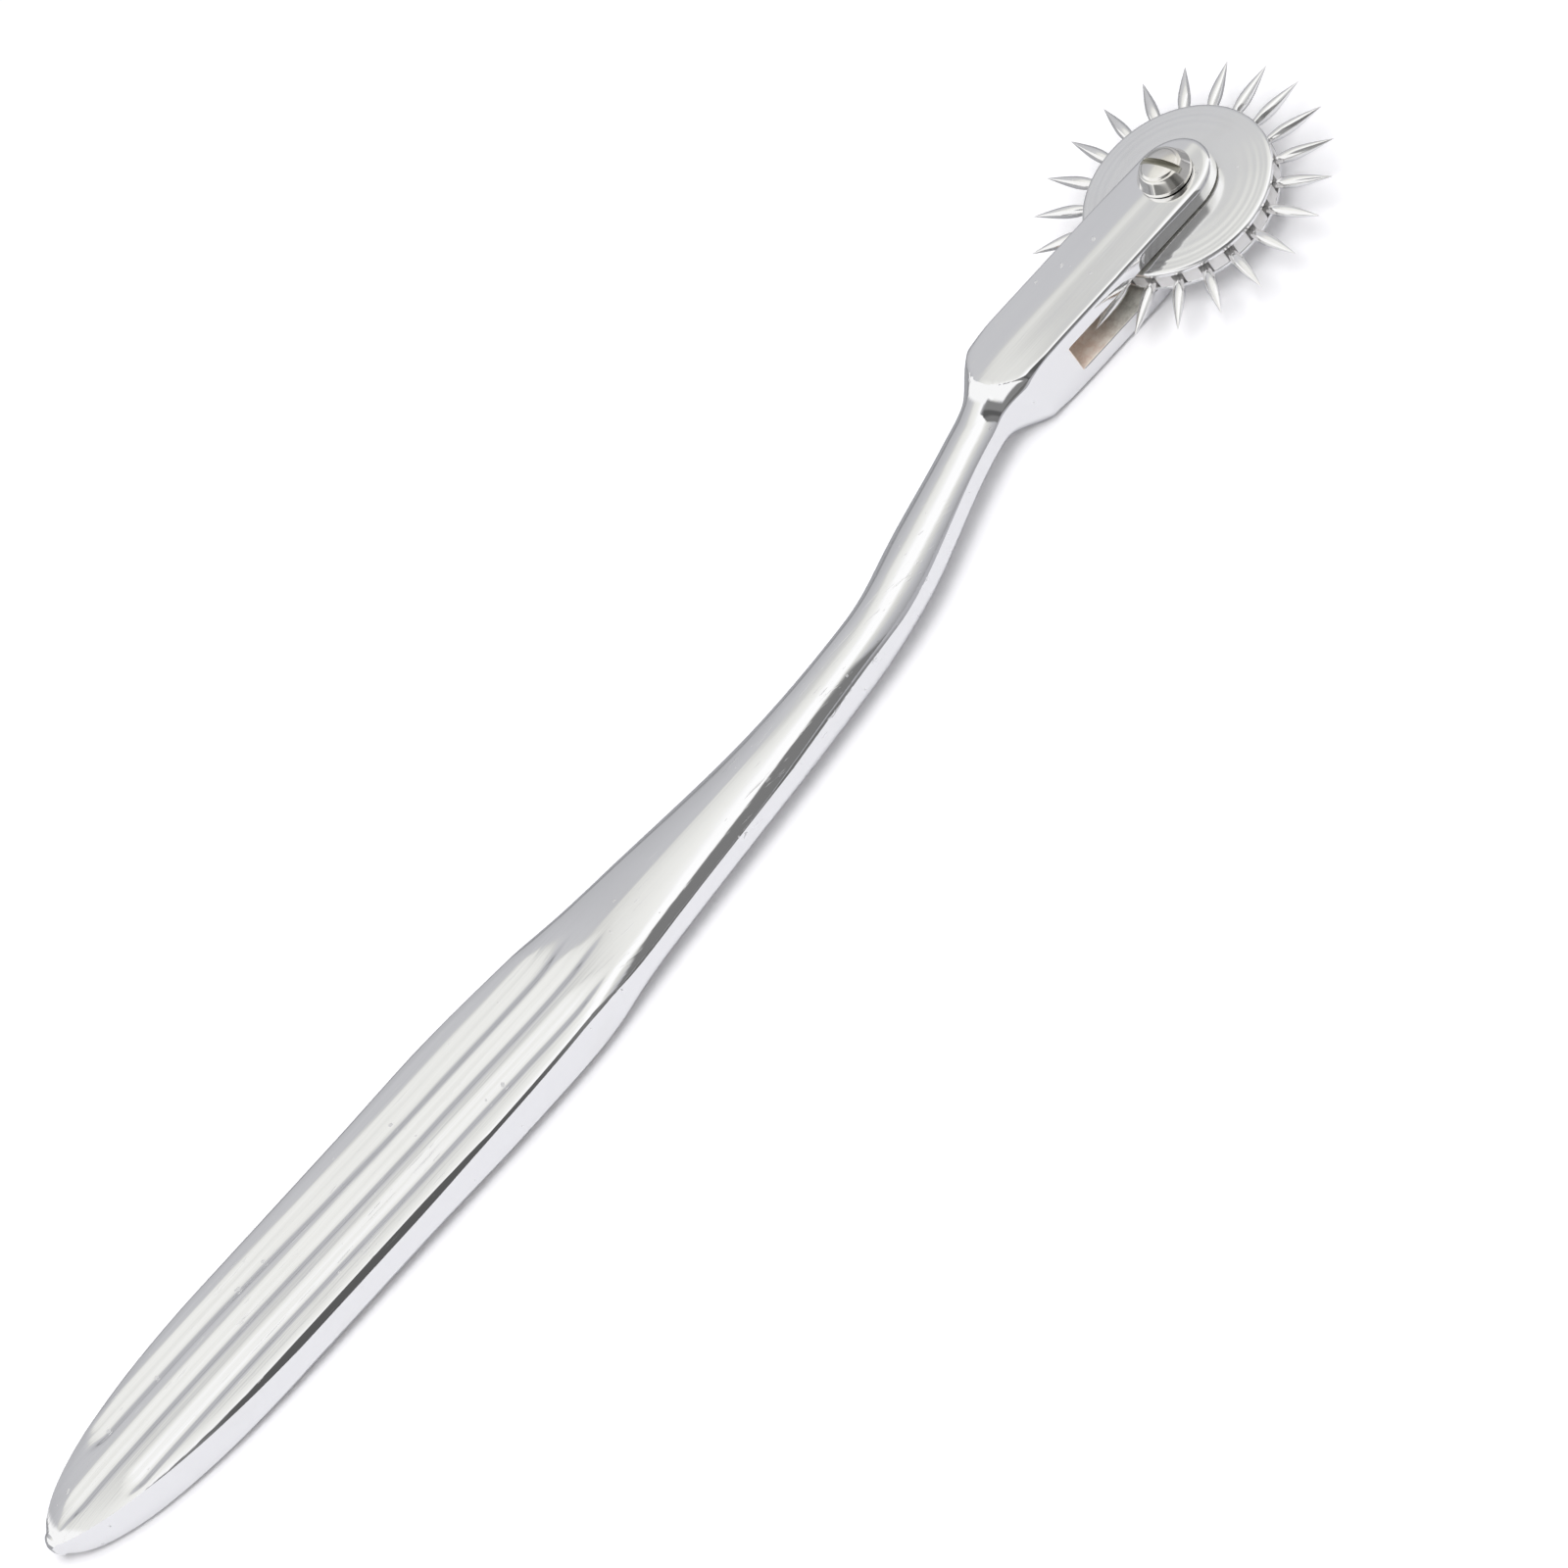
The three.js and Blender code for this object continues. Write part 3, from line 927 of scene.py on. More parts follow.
    def roof(self, x: Array, y: Array) -> tuple[Array, Array]:
        """The fork's roof.

        It loses height on two facets and on the narrow steeper strip between them, and the near
        facet is as steep as the strip at the heel. The roof takes over as a square from the neck
        to the tongue's end, which lies on an arc across, so it starts with a crisp curved edge
        over a hollow.

        Args:
            x: Stations, as a column.
            y: Places across, as a grid.

        Returns:
            Its height, and the share by which it has taken over, at each point.
        """
        far, middle, near = (
            soft_ramp(u, self.ridge_softness)
            for u in (y - self.ridge_far, self.ridge_far - y, self.ridge_near - y)
        )
        steep = lerp(self.heel_facet, self.near_facet, rise(x, *self.heel_facet_span))
        fall = self.far_facet * far + self.ridge_step * (middle - near) + steep * near
        end = self.tongue_end + self.tongue_arc * y * y
        share = np.clip((x - self.tongue_start) / (end - self.tongue_start), 0.0, 1.0) ** 2
        return self.fork_top - fall, share

    def upper_height(self, x: Array, share: Array) -> tuple[Array, Array]:
        """Height of the upper face at shares of the half width.

        The blade's face runs into the dome along the taper, where both fall to the sides as a low
        gable. The fork's roof takes over from them at the tongue.

        Args:
            x: Stations, as a column.
            share: Shares across from -1 to 1, as a row.

        Returns:
            Places across and heights, each a grid.
        """
        half = self.half_width(x)
        thick = self.bar(x, self.nose_thickness_power, self.blade_thickness)
        y = half * share
        away = self.edge_distance(x, y, half)
        fall = self.edge_fall(x, y, away, half)
        face = self.blade_face(x, share, half, thick, away) - fall
        low = lerp(face, self.dome(x, share, thick), rise(x, *self.dome_span))
        gable = rise(x, *self.gable_span) * (1.0 - rise(x, *self.gable_end_span))
        sides = soft_ramp(np.abs(y) - self.gable_line, self.gable_softness)
        sides = sides - self.gable_return * np.abs(y) * share**2
        roof, taken = self.roof(x, y)
        return y, lerp(low - self.gable * gable * sides, roof - fall, taken)

    # -- the surfaces --

    def place(self, x: Array, across: Array, up: Array) -> Array:
        """Carries section points along the bent middle line, square to its slope.

        Args:
            x: Stations, as a column.
            across: Distances from the middle line.
            up: Heights.

        Returns:
            Grid of points.
        """
        slope = np.arctan(self.slope(x))
        px = x - across * np.sin(slope)
        py = self.centre(x) + across * np.cos(slope)
        return np.stack(np.broadcast_arrays(px, py, up), axis=-1)

    def shares(self) -> Array:
        """Shares across the upper face from the far edge to the near one, closest at the edges.

        Returns:
            A row of shares from 1 to -1.
        """
        inner = np.linspace(0.0, self.crown_edge_share, self.face_columns)
        turn = np.linspace(0.0, QUARTER, self.edge_columns)
        half = np.concatenate([inner, 1.0 - self.edge_band * np.cos(turn) ** self.edge_power])
        return np.concatenate([half[::-1], -half[1:]])[None, :]

    def body_stations(self) -> Array:
        """Stations from the tip to the slot, closest at the tip, the flutes' ends and the neck.

        Returns:
            A column of stations, spaced by squares up to the first run's end.
        """
        reach, count = self.body_runs[0]
        parts = [reach * np.linspace(0.0, 1.0, count) ** 2]
        for (start, _), (end, count) in zip(self.body_runs, self.body_runs[1:]):
            parts.append(np.linspace(start, end, count)[1:])
        return np.concatenate(parts)[:, None]

    def cheek_stations(self) -> Array:
        """Stations from the slot's end to the fork's end, spaced by a sine on the round end.

        Returns:
            A column of stations.
        """
        parts = [
            self.slot_start + np.array(self.mouth_steps),
            np.linspace(self.slot_start + self.cheek_start, AXLE[0], self.cheek_rows)[:-1],
            AXLE[0] + self.fork_nose * np.sin(np.linspace(0.0, QUARTER, self.round_rows)),
        ]
        return np.concatenate(parts)[:, None]

    def body(self, shell: Shell) -> None:
        """Adds the loft from the tip to the slot's end.

        Each side wall has levels that are shares of its height. On the way to the slot two of
        them move to the slot's upper and lower edge.

        Args:
            shell: Where it goes.
        """
        x = self.body_stations()
        y, z = self.upper_height(x, self.shares())
        levels = np.array(self.wall_levels)
        ends = levels.copy()
        ends[[1, 5]] = np.array([1.0, -1.0]) * self.slot_top / (self.fork_top - self.fork_edge)
        heights = z[:, :1] * lerp(levels, ends, rise(x, *self.level_span))
        heights[-1, [1, 5]] = self.slot_top, -self.slot_top
        near, far = (np.broadcast_to(side, heights.shape) for side in (y[:, -1:], y[:, :1]))
        across = np.concatenate([y, near, y[:, ::-1], far], 1)
        up = np.concatenate([z, heights, -z[:, ::-1], heights[:, ::-1]], 1)
        shell.add(self.place(x, across, up), closed=True)

    def cheek(self, shell: Shell, side: int) -> None:
        """Adds one cheek.

        Its outside is the fork's upper face with a wall on each side, and its inside is flat. The
        edge between them is rounded: on the way up the wall the point stands back by less, and
        round the fork's end it also draws back along x.

        Args:
            shell: Where it goes.
            side: 1 for the cheek under the screw's head, -1 for the threaded one.
        """
        x = self.cheek_stations()
        y, z = self.upper_height(x, self.shares())
        half, top = self.half_width(x), z[:, :1]
        mouth = rise(x, self.slot_start, self.slot_start + self.slot_edge_reach)
        size = self.slot_edge * mouth
        climb = np.array(self.slot_round)
        back = size * climb[::-1]
        edge_y = half * (1.0 - back / (self.fork_width / 2.0))
        edge_z = self.slot_top + size * (1.0 - np.sqrt(1.0 - climb**2))
        middle = lerp(self.slot_top, top, 0.5)
        middle[0] = top[0] * self.wall_levels[0]
        wall_y = np.concatenate([edge_y, half], 1)
        wall_z = np.concatenate([edge_z, middle], 1)
        across = np.concatenate([wall_y, y, -wall_y[:, ::-1]], 1)
        height = np.concatenate([wall_z, z, wall_z[:, ::-1]], 1)
        pull = np.maximum(x - AXLE[0], 0.0) * back / self.fork_nose
        pull = np.concatenate([pull, 0.0 * half], 1)
        grid = self.place(x, across, side * height)
        grid[..., 0] -= np.concatenate([pull, 0.0 * y, pull[:, ::-1]], 1)
        shell.add(grid)
        t = np.linspace(0.0, 1.0, self.flat_columns)[None, :, None]
        shell.add(lerp(grid[:, :1], grid[:, -1:], t))

    def slot_wall(self, shell: Shell) -> None:
        """Adds the slot's end wall, between the two cheeks.

        Args:
            shell: Where it goes.
        """
        x = np.full((1, 1), self.slot_start)
        low = self.wall_levels[2] * self.upper_height(x, self.shares())[1][0, 0]
        levels = np.array([self.slot_top, low, 0.0, -low, -self.slot_top])[:, None]
        across = self.fork_width / 2.0 * np.linspace(1.0, -1.0, self.flat_columns)[None, :]
        shell.add(self.place(x, across, levels))

    def build(self) -> bpy.types.Object:
        """Makes the forging, with a hole for the screw in each cheek.

        Returns:
            The finished piece, on the body called handle.
        """
        shell = Shell()
        self.body(shell)
        self.cheek(shell, 1)
        self.cheek(shell, -1)
        self.slot_wall(shell)
        mesh = shell.mesh("handle_forging", self.sharp_deg)
        piece = finish_piece(
            "handle_forging", mesh, FORGED.material(), "handle", "forged_handle"
        )
        for radius, low, high in self.holes:
            profile = np.array([[0.0, low], [radius, low], [radius, high], [0.0, high]])
            drill = turned(profile[:, :1], profile[:, 1:], self.hole_sides)
            carve(piece, Shell().add(drill, closed=True), self.sharp_deg)
        return piece


# ---- The axle screw ----


@dataclass
class AxleScrew:
    """The slotted screw on which the wheel turns."""

    sides: int = 72
    journal: float = 1.5
    thread: float = 1.3
    thread_pitch: float = 0.35
    thread_depth: float = 0.12
    thread_top: float = -1.75
    thread_run_out: float = 0.25
    thread_run_in: float = 0.2
    thread_rows: int = 60
    end: float = -3.4
    end_ring: float = 0.5
    chamfer: float = 0.3
    seat: float = 3.7
    head: float = 2.75
    height: float = 2.1
    dome: float = 1.75
    dome_drop: float = 0.36
    band_slope: float = 0.25
    step_drop: float = 0.09
    step_width: float = 0.12
    flank: float = 2.12
    flank_slope: float = 1.4
    flank_softness: float = 0.05
    rim_shrink: float = 0.97
    rim_levels: tuple[float, ...] = (1.0, 0.6, 0.2, 0.0)
    slot_half: float = 0.33
    slot_depth: float = 0.8
    slot_wall_span: Span = (0.02, -0.045)
    floor_line: float = 0.14
    slot_lines: tuple[float, ...] = (-0.045, -0.03, 0.0, 0.02, 0.06)
    dome_start: float = 0.42
    dome_rows: int = 48
    dome_columns: int = 97
    sharp_deg: float = 35.0

    def shaft(self, shell: Shell) -> None:
        """Adds the chamfered end, the thread and the journal.

        The thread's radius falls by a triangle wave of the height over the pitch less the angle
        as a share of a turn, so its ridges climb as a helix.

        Args:
            shell: Where it goes.
        """
        start, top = self.end + self.chamfer, self.thread_top
        turn = np.arange(self.sides) / self.sides
        z = np.linspace(start, top, self.thread_rows)[:, None]
        phase = np.mod(z / self.thread_pitch - turn, 1.0)
        fade = rise(z, top, top - self.thread_run_out) * rise(z, start, start + self.thread_run_in)
        r = self.thread - self.thread_depth * np.abs(2.0 * phase - 1.0) * fade
        foot = np.array([0.0, self.end_ring, self.thread - self.chamfer])[:, None]
        neck = np.array([top, 0.0, self.seat])[:, None]
        r = np.concatenate([foot + 0.0 * turn, r, self.journal + 0.0 * (neck + turn)])
        z = np.concatenate([np.full_like(foot, self.end), z, neck])
        shell.add(turned(r, z, self.sides), closed=True)

    def head_fall(self, r: Array) -> Array:
        """Height lost from the head's top.

        The dome falls with the square of the radius. A small step and a gentle band lie round it,
        and a steep flank runs down from them to the rim.

        Args:
            r: Radii.

        Returns:
            Fall at each radius.
        """
        fall = self.dome_drop * (np.minimum(r, self.dome) / self.dome) ** 2
        fall = fall + self.band_slope * np.maximum(r - self.dome, 0.0)
        fall = fall + self.step_drop * rise(r, self.dome, self.dome + self.step_width)
        return fall + self.flank_slope * soft_ramp(r - self.flank, self.flank_softness)

    def crown(self, shell: Shell) -> None:
        """Adds the domed head with its driver slot.

        The head is a grid of chords: each line across at a distance u from the middle runs to
        the rim on both sides. Its height is the dome's, or the slot's floor where that is lower
        and u is inside the slot. Below each end of the chords a wall runs down to the seat and
        in to the journal.

        Args:
            shell: Where it goes.
        """
        r, edge, top = self.head, self.slot_half, self.seat + self.height
        slot = [0.0, self.floor_line, *(edge + line for line in self.slot_lines)]
        start = math.asin(self.dome_start / r)
        out = r * np.sin(np.linspace(start, QUARTER, self.dome_rows))
        half = np.concatenate([slot, out])
        u = np.concatenate([-half[::-1], half[1:]])[:, None]
        along = np.sin(np.linspace(-QUARTER, QUARTER, self.dome_columns))
        v = np.sqrt(np.maximum(r * r - u * u, 0.0)) * along
        cap = top - self.head_fall(np.sqrt(np.minimum(u * u + v * v, r * r)))
        floor = top - self.slot_depth
        depth = rise(np.abs(u), *(edge + place for place in self.slot_wall_span))
        z = np.where(cap > floor, lerp(cap, floor, depth), cap)[..., None]
        c, s = math.cos(DRIVER_TURN), math.sin(DRIVER_TURN)
        plan = np.stack([v * c - u * s, v * s + u * c], -1)
        shell.add(np.concatenate([AXLE + plan, z], -1))
        levels = np.array(self.rim_levels)[:, None, None]
        shrink = np.where(levels > 0.0, 1.0, self.rim_shrink)
        for column in (0, -1):
            rim = plan[:, column]
            wall = AXLE + rim * shrink
            shell.add(np.concatenate([wall, lerp(self.seat, z[:, column], levels)], -1))
            ring = AXLE + rim / np.linalg.norm(rim, axis=1, keepdims=True) * self.journal
            under = np.stack([wall[-1], ring])
            shell.add(np.concatenate([under, np.full_like(under[..., :1], self.seat)], -1))

    def build(self) -> bpy.types.Object:
        """Makes the screw.

        Returns:
            The finished piece, on the body called handle.
        """
        shell = Shell()
        self.shaft(shell)
        self.crown(shell)
        mesh = shell.mesh("axle_screw_turned", self.sharp_deg)
        return finish_piece(
            "axle_screw_turned", mesh, SCREW.material(), "handle", "axle_screw"
        )


# ---- The wheel ----


@dataclass
class PinWheel:
    """Two discs, the slotted ring between them, the bush and the ring of pins."""

    # The bush and the discs.
    bore: float = 1.56
    bush: float = 2.30
    bush_top: float = 1.6
    bush_chamfer: float = 0.08
    bush_sides: int = 96
    hole: float = 2.35
    hole_chamfer: float = 0.06
    disc: float = 9.8
    disc_sides: int = 200
    face_start: float = 0.15
    face_rows: int = 90
    rim_rows: int = 12
    disc_flat: float = 4.0
    disc_fall: float = 0.1
    wheel_top: float = 1.5
    rim_round: float = 0.48
    rim_drop: float = 0.3
    back_chamfer: float = 0.05
    turned_steps: tuple[Triple, ...] = (
        (6.3, 0.8, 0.012), (7.4, 0.6, 0.02), (8.25, 0.4, 0.02), (8.85, 0.3, 0.008),
    )
    # The ring.
    ring_top: float = 0.75
    ring_inset: float = 0.04
    ring_radii: Span = (4.0, 5.6)
    ring_rows: int = 5
    land_columns: int = 9
    gap_columns: int = 5
    slot_floor: float = 8.8
    slot_width: float = 1.15
    # The pins.
    pin_count: int = 22
    pin_sides: int = 28
    first_pin_deg: float = -3.7
    root_start: float = 7.25
    root: float = 0.85
    root_chamfer: float = 0.06
    collar: float = 0.1
    belly: float = 1.25
    tip: float = 15.7
    belly_rows: int = 30
    point_share: float = 0.1
    point_rows: int = 9
    point_power: float = 1.4
    belly_shares: tuple[Span, ...] = (
        (0.0, 0.66), (0.06, 0.74), (0.13, 0.86), (0.22, 0.965), (0.30, 1.0), (0.38, 0.975),
        (0.52, 0.84), (0.64, 0.665), (0.76, 0.46), (0.86, 0.275), (0.94, 0.125), (1.0, 0.0),
    )
    turned_sharp_deg: float = 30.0
    pin_sharp_deg: float = 35.0

    def disc_shell(self, side: int) -> Shell:
        """One disc: a flat middle, a slow fall with faint turned steps and a rounded rim.

        The fall grows with the square of the way out from the flat, and each turned step adds a
        smooth drop from its radius over its width.

        Args:
            side: 1 for the front disc, -1 for the rear one.

        Returns:
            The closed surface.
        """
        low, top, c, b = self.ring_top, self.wheel_top, self.hole_chamfer, self.back_chamfer
        r = np.linspace(self.hole + self.face_start, self.disc - self.rim_round, self.face_rows)
        out = (r - self.disc_flat).clip(0.0) / (self.disc - self.disc_flat)
        fall = self.disc_fall * out**2
        fall = fall + sum(drop * rise(r, at, at + wide) for at, wide, drop in self.turned_steps)
        turn = np.linspace(0.0, QUARTER, self.rim_rows)[1:]
        rim_r = self.disc - self.rim_round + self.rim_round * np.sin(turn)
        rim_z = top - fall[-1] - self.rim_drop * (1.0 - np.cos(turn))
        profile = np.concatenate([
            [(self.hole, low), (self.hole, top - c), (self.hole + c, top)],
            np.stack([r, top - fall], -1),
            np.stack([rim_r, rim_z], -1),
            [(self.disc, low + b), (self.disc - b, low), (self.hole, low)],
        ])
        grid = turned(profile[:, :1], side * profile[:, 1:], self.disc_sides)
        return Shell().add(grid, closed=True)

    def bush_shell(self) -> Shell:
        """The bush: a plain tube with small chamfers.

        Returns:
            The closed surface.
        """
        a, b, h, c = self.bore, self.bush, self.bush_top, self.bush_chamfer
        corners = np.array([
            (a, 0.0), (a, h - c), (a + c, h), (b - c, h), (b, h - c),
            (b, c - h), (b - c, -h), (a + c, -h), (a, c - h), (a, 0.0),
        ])
        grid = turned(corners[:, :1], corners[:, 1:], self.bush_sides)
        return Shell().add(grid, closed=True)

    def ring_shell(self) -> Shell:
        """The slotted ring.

        Each of its sectors holds a land and a slot with parallel walls. At radius r the land
        reaches from the sector's middle by half a sector less the angle whose sine is half the
        slot over r.

        Returns:
            The closed surface.
        """
        shell = Shell()
        sector, half_slot = TURN / self.pin_count, self.slot_width / 2.0
        levels = np.linspace(-self.ring_top, self.ring_top, self.ring_rows)[:, None]
        r_land = np.linspace(self.slot_floor, self.disc - self.ring_inset, self.ring_rows)
        r_land = r_land[:, None]
        r_in = np.array([self.hole, *self.ring_radii, self.slot_floor])[:, None]
        reach = sector / 2.0 - np.arcsin(half_slot / r_land)
        reach = np.linspace(-1.0, 1.0, self.land_columns) * reach
        gap = np.linspace(-1.0, 1.0, self.gap_columns) * math.asin(half_slot / self.slot_floor)
        for k in range(self.pin_count):
            start = math.radians(self.first_pin_deg) + k * sector
            land, slot = start + sector / 2.0 + reach, (start + gap)[None, :]
            inner = np.concatenate([slot, land[:1, 1:]], 1)
            for z in (levels[-1:], levels[:1]):
                shell.add(around(r_land, land, z))
            shell.add(around(r_land[-1:], land[-1:], levels))
            for end in (0, -1):
                shell.add(around(r_land.T, land[:, end][None, :], levels))
            shell.add(around(r_land[:1], slot, levels))
            for z in (levels[-1:], levels[:1]):
                shell.add(around(r_in, inner, z))
            shell.add(around(r_in[:1], inner, levels))
        return shell

    def pin_shell(self, number: int) -> Shell:
        """One pin: a straight root, a small collar, a full belly and a long ground point.

        The radius is read off the shares of the belly along the pin, and each ring lies square
        to the pin's own line from the wheel's middle.

        Args:
            number: Its place round the wheel, from 0.

        Returns:
            The closed surface.
        """
        c, root, point = self.root_chamfer, self.root / 2.0, self.point_share
        close = 1.0 - point * np.linspace(1.0, 0.0, self.point_rows)[1:] ** self.point_power
        t = np.concatenate([np.linspace(0.0, 1.0 - point, self.belly_rows), close])
        shaft = [(0.0, self.root_start), (root - c, self.root_start)]
        shaft += [(root, self.root_start + c), (root, self.disc - self.collar)]
        belly = np.stack([self.belly / 2.0 * self.fullness(t), lerp(self.disc, self.tip, t)], -1)
        radius, reach = (column[:, None] for column in np.concatenate([shaft, belly]).T)
        turn = np.arange(self.pin_sides) * TURN / self.pin_sides
        angle = math.radians(self.first_pin_deg) + number * TURN / self.pin_count
        side = radius * np.cos(turn)
        x = AXLE[0] + reach * math.cos(angle) - side * math.sin(angle)
        y = AXLE[1] + reach * math.sin(angle) + side * math.cos(angle)
        return Shell().add(np.stack([x, y, radius * np.sin(turn)], axis=-1), closed=True)

    def fullness(self, t: Array) -> Array:
        """Smooth curve through the belly's shares, by cubic pieces that share their slopes.

        Args:
            t: Shares along the pin, from the disc's rim to the tip.

        Returns:
            Share of the belly's width at each.
        """
        places, values = np.array(self.belly_shares).T
        slope = np.gradient(values, places)
        k = np.clip(np.searchsorted(places, t, side="right") - 1, 0, len(places) - 2)
        width = places[k + 1] - places[k]
        u = (t - places[k]) / width
        a = values[k] * (1 + 2 * u) * (1 - u) ** 2 + values[k + 1] * u * u * (3 - 2 * u)
        b = slope[k] * width * u * (1 - u) ** 2 - slope[k + 1] * width * u * u * (1 - u)
        return np.maximum(a + b, 0.0)

    def build(self) -> list[bpy.types.Object]:
        """Makes the wheel's pieces.

        Returns:
            The discs, the ring, the bush and the pins, on the body called wheel.
        """
        disc, ring, pin, bush = (steel.material() for steel in (DISC, RING, PIN, SCREW))
        crisp = self.turned_sharp_deg
        rows = [
            ("front_disc", self.disc_shell(1), disc, "wheel_front_disc", "disc_steel", crisp),
            ("rear_disc", self.disc_shell(-1), disc, "wheel_rear_disc", "disc_steel", crisp),
            ("slotted_ring", self.ring_shell(), ring, "pin_ring", "ring_steel", crisp),
            ("wheel_bush", self.bush_shell(), bush, "axle_bush", "screw_steel", crisp),
        ]
        for k in range(self.pin_count):
            node, crisp = f"pin_{k + 1:02d}", self.pin_sharp_deg
            rows.append((f"steel_{node}", self.pin_shell(k), pin, node, "pin_steel", crisp))
        return [
            finish_piece(name, shell.mesh(name, sharp), finish, "wheel", node)
            for name, shell, finish, node, slot, sharp in rows
        ]


# ---- The studio ----


@dataclass(frozen=True)
class FloorPaint:
    """Matt white that glows a little for the camera, so that it stays white round the object.

    In reflections the floor carries a painted reflection: painted shade behind the handle's middle
    line and darker painted shade well in front of it, as a small lit table would show. Lengths are
    in metres.
    """

    colour: Triple = (0.98, 0.975, 1.0)
    glow: Triple = (1.0, 1.0, 0.95)
    glow_strength: float = 0.10
    line_span: Span = (-0.0035, 0.0525)
    line_ends: Span = (-0.0095, 0.0009)
    # Painted reflection: colours that only glossy rays see. They are lighter near the handle, with
    # painted shade behind its middle line and far in front of it.
    lit: Triple = (0.825, 0.825, 0.85)
    behind: Triple = (0.36, 0.365, 0.38)
    behind_span: Span = (0.0005, -0.0015)
    blade_painted_shade: Triple = (0.15, 0.15, 0.145)
    fork_painted_shade: Triple = (0.42, 0.42, 0.44)
    fork_span: Span = (0.02, 0.04)
    gloom_span: Span = (0.017, 0.019)

    def material(self) -> bpy.types.Material:
        """Builds the material.

        Returns:
            The floor's material.
        """
        made = bpy.data.materials.new("floor")
        made.use_nodes = True
        g = Graph(made.node_tree)
        x, y, _ = g.axes()
        ahead = g.less(g.step(x, *self.line_span, *self.line_ends), y)
        # Painted reflection for glossy rays: painted shade behind the handle's middle line, and
        # darker painted shade past a line in front of it.
        painted_reflection = g.mix(g.step(ahead, *self.behind_span), self.lit, self.behind)
        gloom = g.mix(g.step(x, *self.fork_span), self.blade_painted_shade, self.fork_painted_shade)
        painted_reflection = g.mix(g.step(ahead, *self.gloom_span), painted_reflection, gloom)
        path = g.node("ShaderNodeLightPath").outputs
        matt = g.node("ShaderNodeBsdfDiffuse", g.mix(path["Is Glossy Ray"], self.colour, painted_reflection))
        glow = g.node("ShaderNodeEmission", (*self.glow, 1.0))
        g.feed(glow.inputs["Strength"], g.times(path["Is Camera Ray"], self.glow_strength))
        both = g.node("ShaderNodeAddShader", matt.outputs[0], glow.outputs[0])
        g.node("ShaderNodeOutputMaterial", both.outputs[0])
        return made


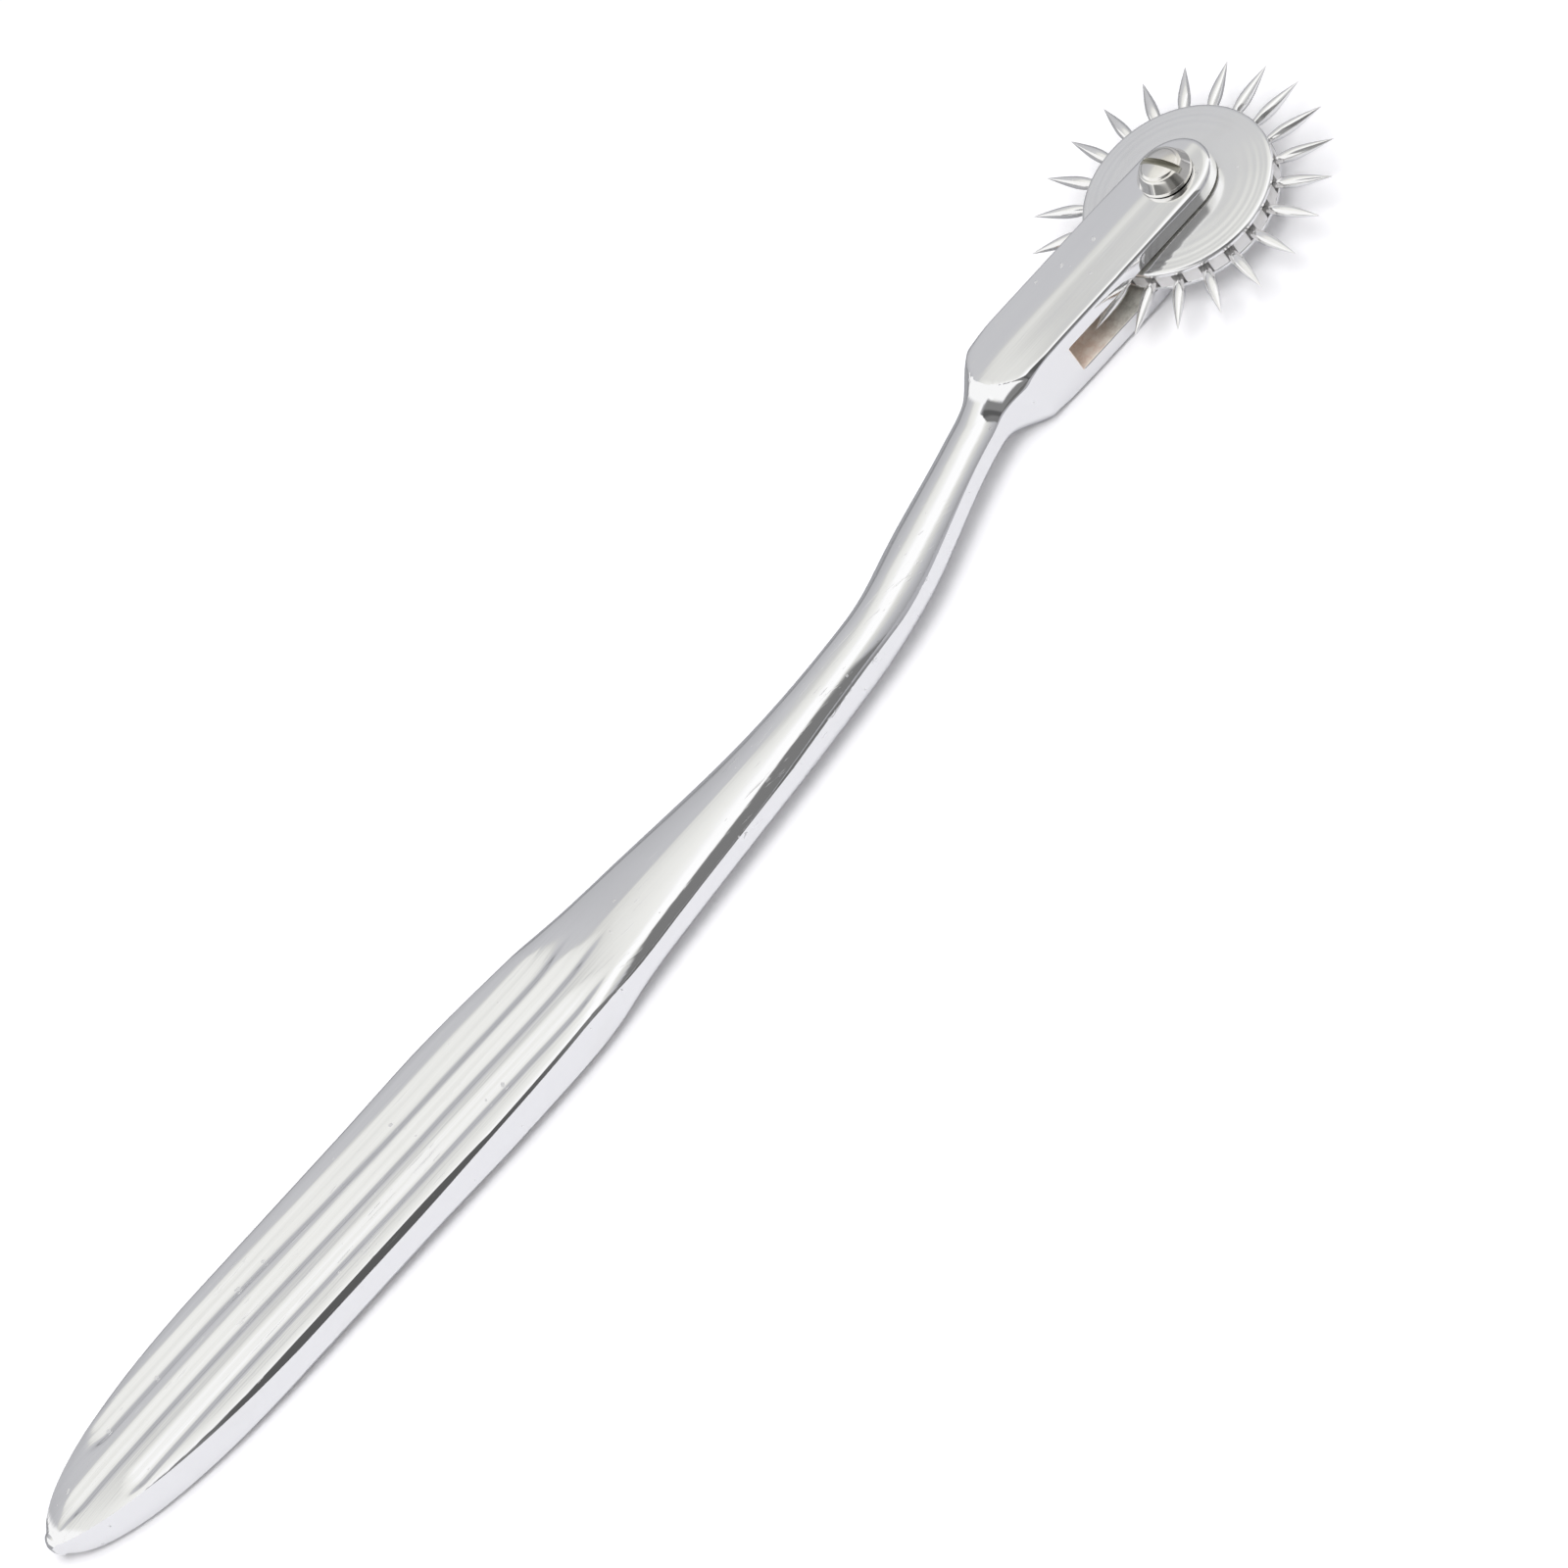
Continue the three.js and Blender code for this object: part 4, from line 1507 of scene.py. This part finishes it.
@dataclass(frozen=True)
class StudioSky:
    """The studio's walls and overhead panel, as the steel mirrors them.

    A direction is read as a turn about the x axis, from the near horizon at 0 over the top at 90
    to the far horizon at 180 degrees, as a lean towards +x, and as its height. A broad white
    panel hangs overhead, the far wall is grey, and the near side is dark where the room is open.
    Each stop is a turn and the level of light there.
    """

    far_side: tuple[Span, ...] = (
        (94, 1.03), (99, 0.975), (104, 0.92), (110, 0.88), (116, 0.845), (121, 0.812),
        (124, 0.78), (126, 0.74), (128, 0.685), (130, 0.637), (132, 0.605), (134, 0.583),
        (138, 0.565), (145, 0.53), (152, 0.505), (166, 0.48), (173, 0.30), (187, 0.30),
        (190, 0.40),
    )
    lit_side: tuple[Span, ...] = (
        (0, 0.36), (11, 0.43), (20, 0.48), (29, 0.53), (43, 0.65), (50, 0.72), (56, 0.80),
        (61, 0.93), (67, 1.04),
    )
    dark_side: tuple[Span, ...] = ((76, 0.0), (82, 0.16), (88, 0.48), (91, 0.62))
    scale_end: float = 200.0
    turn_start: float = -90.0
    # Stray light in the dark side: towards the wheel, towards the tip, and where it ends.
    wheel_gloom: tuple[float, ...] = (1.0, 10.0, 0.105, 0.195)
    tip_gloom: tuple[float, ...] = (-7.0, -15.0, 0.0, 0.12)
    gloom_span: Span = (88.0, 76.0)
    # The lean past which the near side is lit, which falls as the turn grows.
    limit: float = 26.0
    limit_slope: float = 0.2
    limit_fall: tuple[float, ...] = (50.0, 90.0, 0.0, 12.0)
    limit_span: Span = (-1.5, 1.5)
    # White patches towards the tip, each from a lean and a height on.
    wing: tuple[Span, Span] = ((-28.0, -34.0), (0.22, 0.32))
    behind: tuple[Span, Span] = ((-20.0, -26.0), (0.12, 0.24))
    behind_turn_span: Span = (84.0, 92.0)
    heel: tuple[Span, Span] = ((-31.0, -37.0), (0.24, 0.34))
    patch_level: float = 0.97
    plain: Triple = (0.40, 0.40, 0.41)
    white: Triple = (1.0, 1.0, 1.0)

    @staticmethod
    def daylight(level: float) -> Triple:
        """Colour of a level of light: a little blue where it is dim and green where it is lit.

        Args:
            level: Brightness, where 1 is white.

        Returns:
            The colour.
        """
        blue = min(max((0.66 - level) / 0.1, 0.0), 1.0)
        green = min(max((0.95 - level) / 0.05, 0.0), 1.0) * (1.0 - blue)
        return level * (1.0 - 0.005 * blue), level, level * (1.0 + 0.04 * blue - 0.03 * green)

    def side(self, g: Graph, turn: Socket, stops: tuple[Span, ...]) -> Socket:
        """Reads one near side of the room, and the far side behind it, off a scale of turns.

        Args:
            g: The world's node tree.
            turn: The direction's turn.
            stops: The near side's stops.

        Returns:
            The colour in that direction.
        """
        at = g.maths("DIVIDE", turn, self.scale_end, clamp=True)
        marks = [(e / self.scale_end, self.daylight(v)) for e, v in stops + self.far_side]
        return g.ramp(at, marks)

    def room(self, g: Graph) -> Socket:
        """Puts the room together.

        Args:
            g: The world's node tree.

        Returns:
            The colour in each direction.
        """
        x, y, z = g.axes("Generated")
        turn = g.maths("DEGREES", g.maths("ARCTAN2", z, g.times(y, -1.0)))
        turn = g.add(turn, g.times(g.maths("LESS_THAN", turn, self.turn_start), 360.0))
        lean = g.maths("DEGREES", g.maths("ARCSINE", x))

        def patch(spans: tuple[Span, Span]) -> Socket:
            """Mask of the directions past a lean and a height."""
            return g.times(g.step(lean, *spans[0]), g.step(z, *spans[1]))

        gloom = g.add(g.step(lean, *self.wheel_gloom), g.step(lean, *self.tip_gloom))
        gloom = g.times(gloom, g.step(turn, *self.gloom_span))
        dark = g.brighten(self.side(g, turn, self.dark_side), gloom)
        limit = g.less(self.limit, g.times(self.limit_slope, turn))
        limit = g.less(limit, g.step(turn, *self.limit_fall))
        lit = g.step(g.less(lean, limit), *self.limit_span)
        lit = g.maths("MAXIMUM", lit, patch(self.wing))
        room = g.mix(lit, dark, self.side(g, turn, self.lit_side))
        behind = g.times(patch(self.behind), g.step(turn, *self.behind_turn_span))
        white = g.maths("MAXIMUM", behind, patch(self.heel))
        return g.mix(white, room, self.daylight(self.patch_level))

    def world(self) -> bpy.types.World:
        """Builds the world: the room in reflections, white for the camera and plain otherwise.

        Returns:
            The world.
        """
        made = bpy.data.worlds.new("studio")
        made.use_nodes = True
        g = Graph(made.node_tree)
        path = g.node("ShaderNodeLightPath").outputs
        seen = g.mix(path["Is Glossy Ray"], self.plain, self.room(g))
        seen = g.mix(path["Is Camera Ray"], seen, self.white)
        g.node("ShaderNodeOutputWorld", g.node("ShaderNodeBackground", seen).outputs[0])
        return made


@dataclass
class Studio:
    """Pale floor, soft light and the camera at the photograph's viewing angle.

    Lengths are in metres but for the camera's place.
    """

    camera_mm: Triple = (-46.447, -413.806, 447.564)
    azimuth_deg: float = 7.5766
    elevation_deg: float = 47.62
    roll_deg: float = -41.878
    lens: float = 149.56
    sensor: float = 36.0
    clip: Span = (0.01, 50.0)
    floor_size: float = 6.0
    floor_slope: float = 0.0108
    floor_pivot: float = 0.051
    floor_drop: float = 0.00002
    lamp_place: Triple = (-0.06, -0.11, 0.76)
    lamp_size: Span = (0.60, 0.64)
    lamp_watts: float = 4.6

    def camera(self) -> None:
        """Sets the camera from its azimuth, its elevation and its roll."""
        a, e, r = (math.radians(v) for v in (self.azimuth_deg, self.elevation_deg, self.roll_deg))
        ahead = Vector((math.sin(a) * math.cos(e), math.cos(a) * math.cos(e), -math.sin(e)))
        level = Vector((math.cos(a), -math.sin(a), 0.0))
        above = level.cross(ahead)
        right = level * math.cos(r) + above * math.sin(r)
        up = above * math.cos(r) - level * math.sin(r)
        data = bpy.data.cameras.new("camera")
        data.lens, data.sensor_width = self.lens, self.sensor
        data.clip_start, data.clip_end = self.clip
        eye = placed("camera", data)
        turn = Matrix((right, up, -ahead)).transposed()
        eye.matrix_world = Matrix.Translation(Vector(self.camera_mm) * MM) @ turn.to_4x4()
        bpy.context.scene.camera = eye

    def floor(self) -> None:
        """Lays the pale floor.

        The instrument rests on its fork's heel and on the blade's underside near the tip, so the
        floor rises by about a hundredth of its length towards the tip and touches both.
        """
        h = self.floor_size / 2.0
        corners = [(-h, -h), (h, -h), (h, h), (-h, h)]
        lift = [self.floor_slope * (self.floor_pivot - x) - self.floor_drop for x, _ in corners]
        mesh = bpy.data.meshes.new("floor")
        points = [(x, y, z) for (x, y), z in zip(corners, lift)]
        mesh.from_pydata(points, [], [(0, 1, 2, 3)])
        mesh.materials.append(FloorPaint().material())
        floor = placed("floor", mesh)

    def lamp(self) -> None:
        """Hangs the broad soft lamp that throws the short shadow under the object."""
        data = bpy.data.lights.new("soft_lamp", "AREA")
        data.shape, data.energy = "RECTANGLE", self.lamp_watts
        data.size, data.size_y = self.lamp_size
        lamp = placed("soft_lamp", data)
        spot = Vector(self.lamp_place)
        lamp.location = spot
        lamp.rotation_mode = "QUATERNION"
        lamp.rotation_quaternion = (-spot).to_track_quat("-Z", "Y")
        lamp.visible_glossy = False

    def build(self) -> None:
        """Sets up the camera, the light and the floor."""
        self.camera()
        bpy.context.scene.world = StudioSky().world()
        self.floor()
        self.lamp()
        bpy.context.scene.view_settings.view_transform = "Standard"


def main() -> None:
    """Builds the object and its studio."""
    logging.basicConfig(level=logging.INFO, format="%(name)s %(message)s")
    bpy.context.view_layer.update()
    Studio().build()
    ForgedHandle().build()
    AxleScrew().build()
    PinWheel().build()


if __name__ == "__main__":
    main()
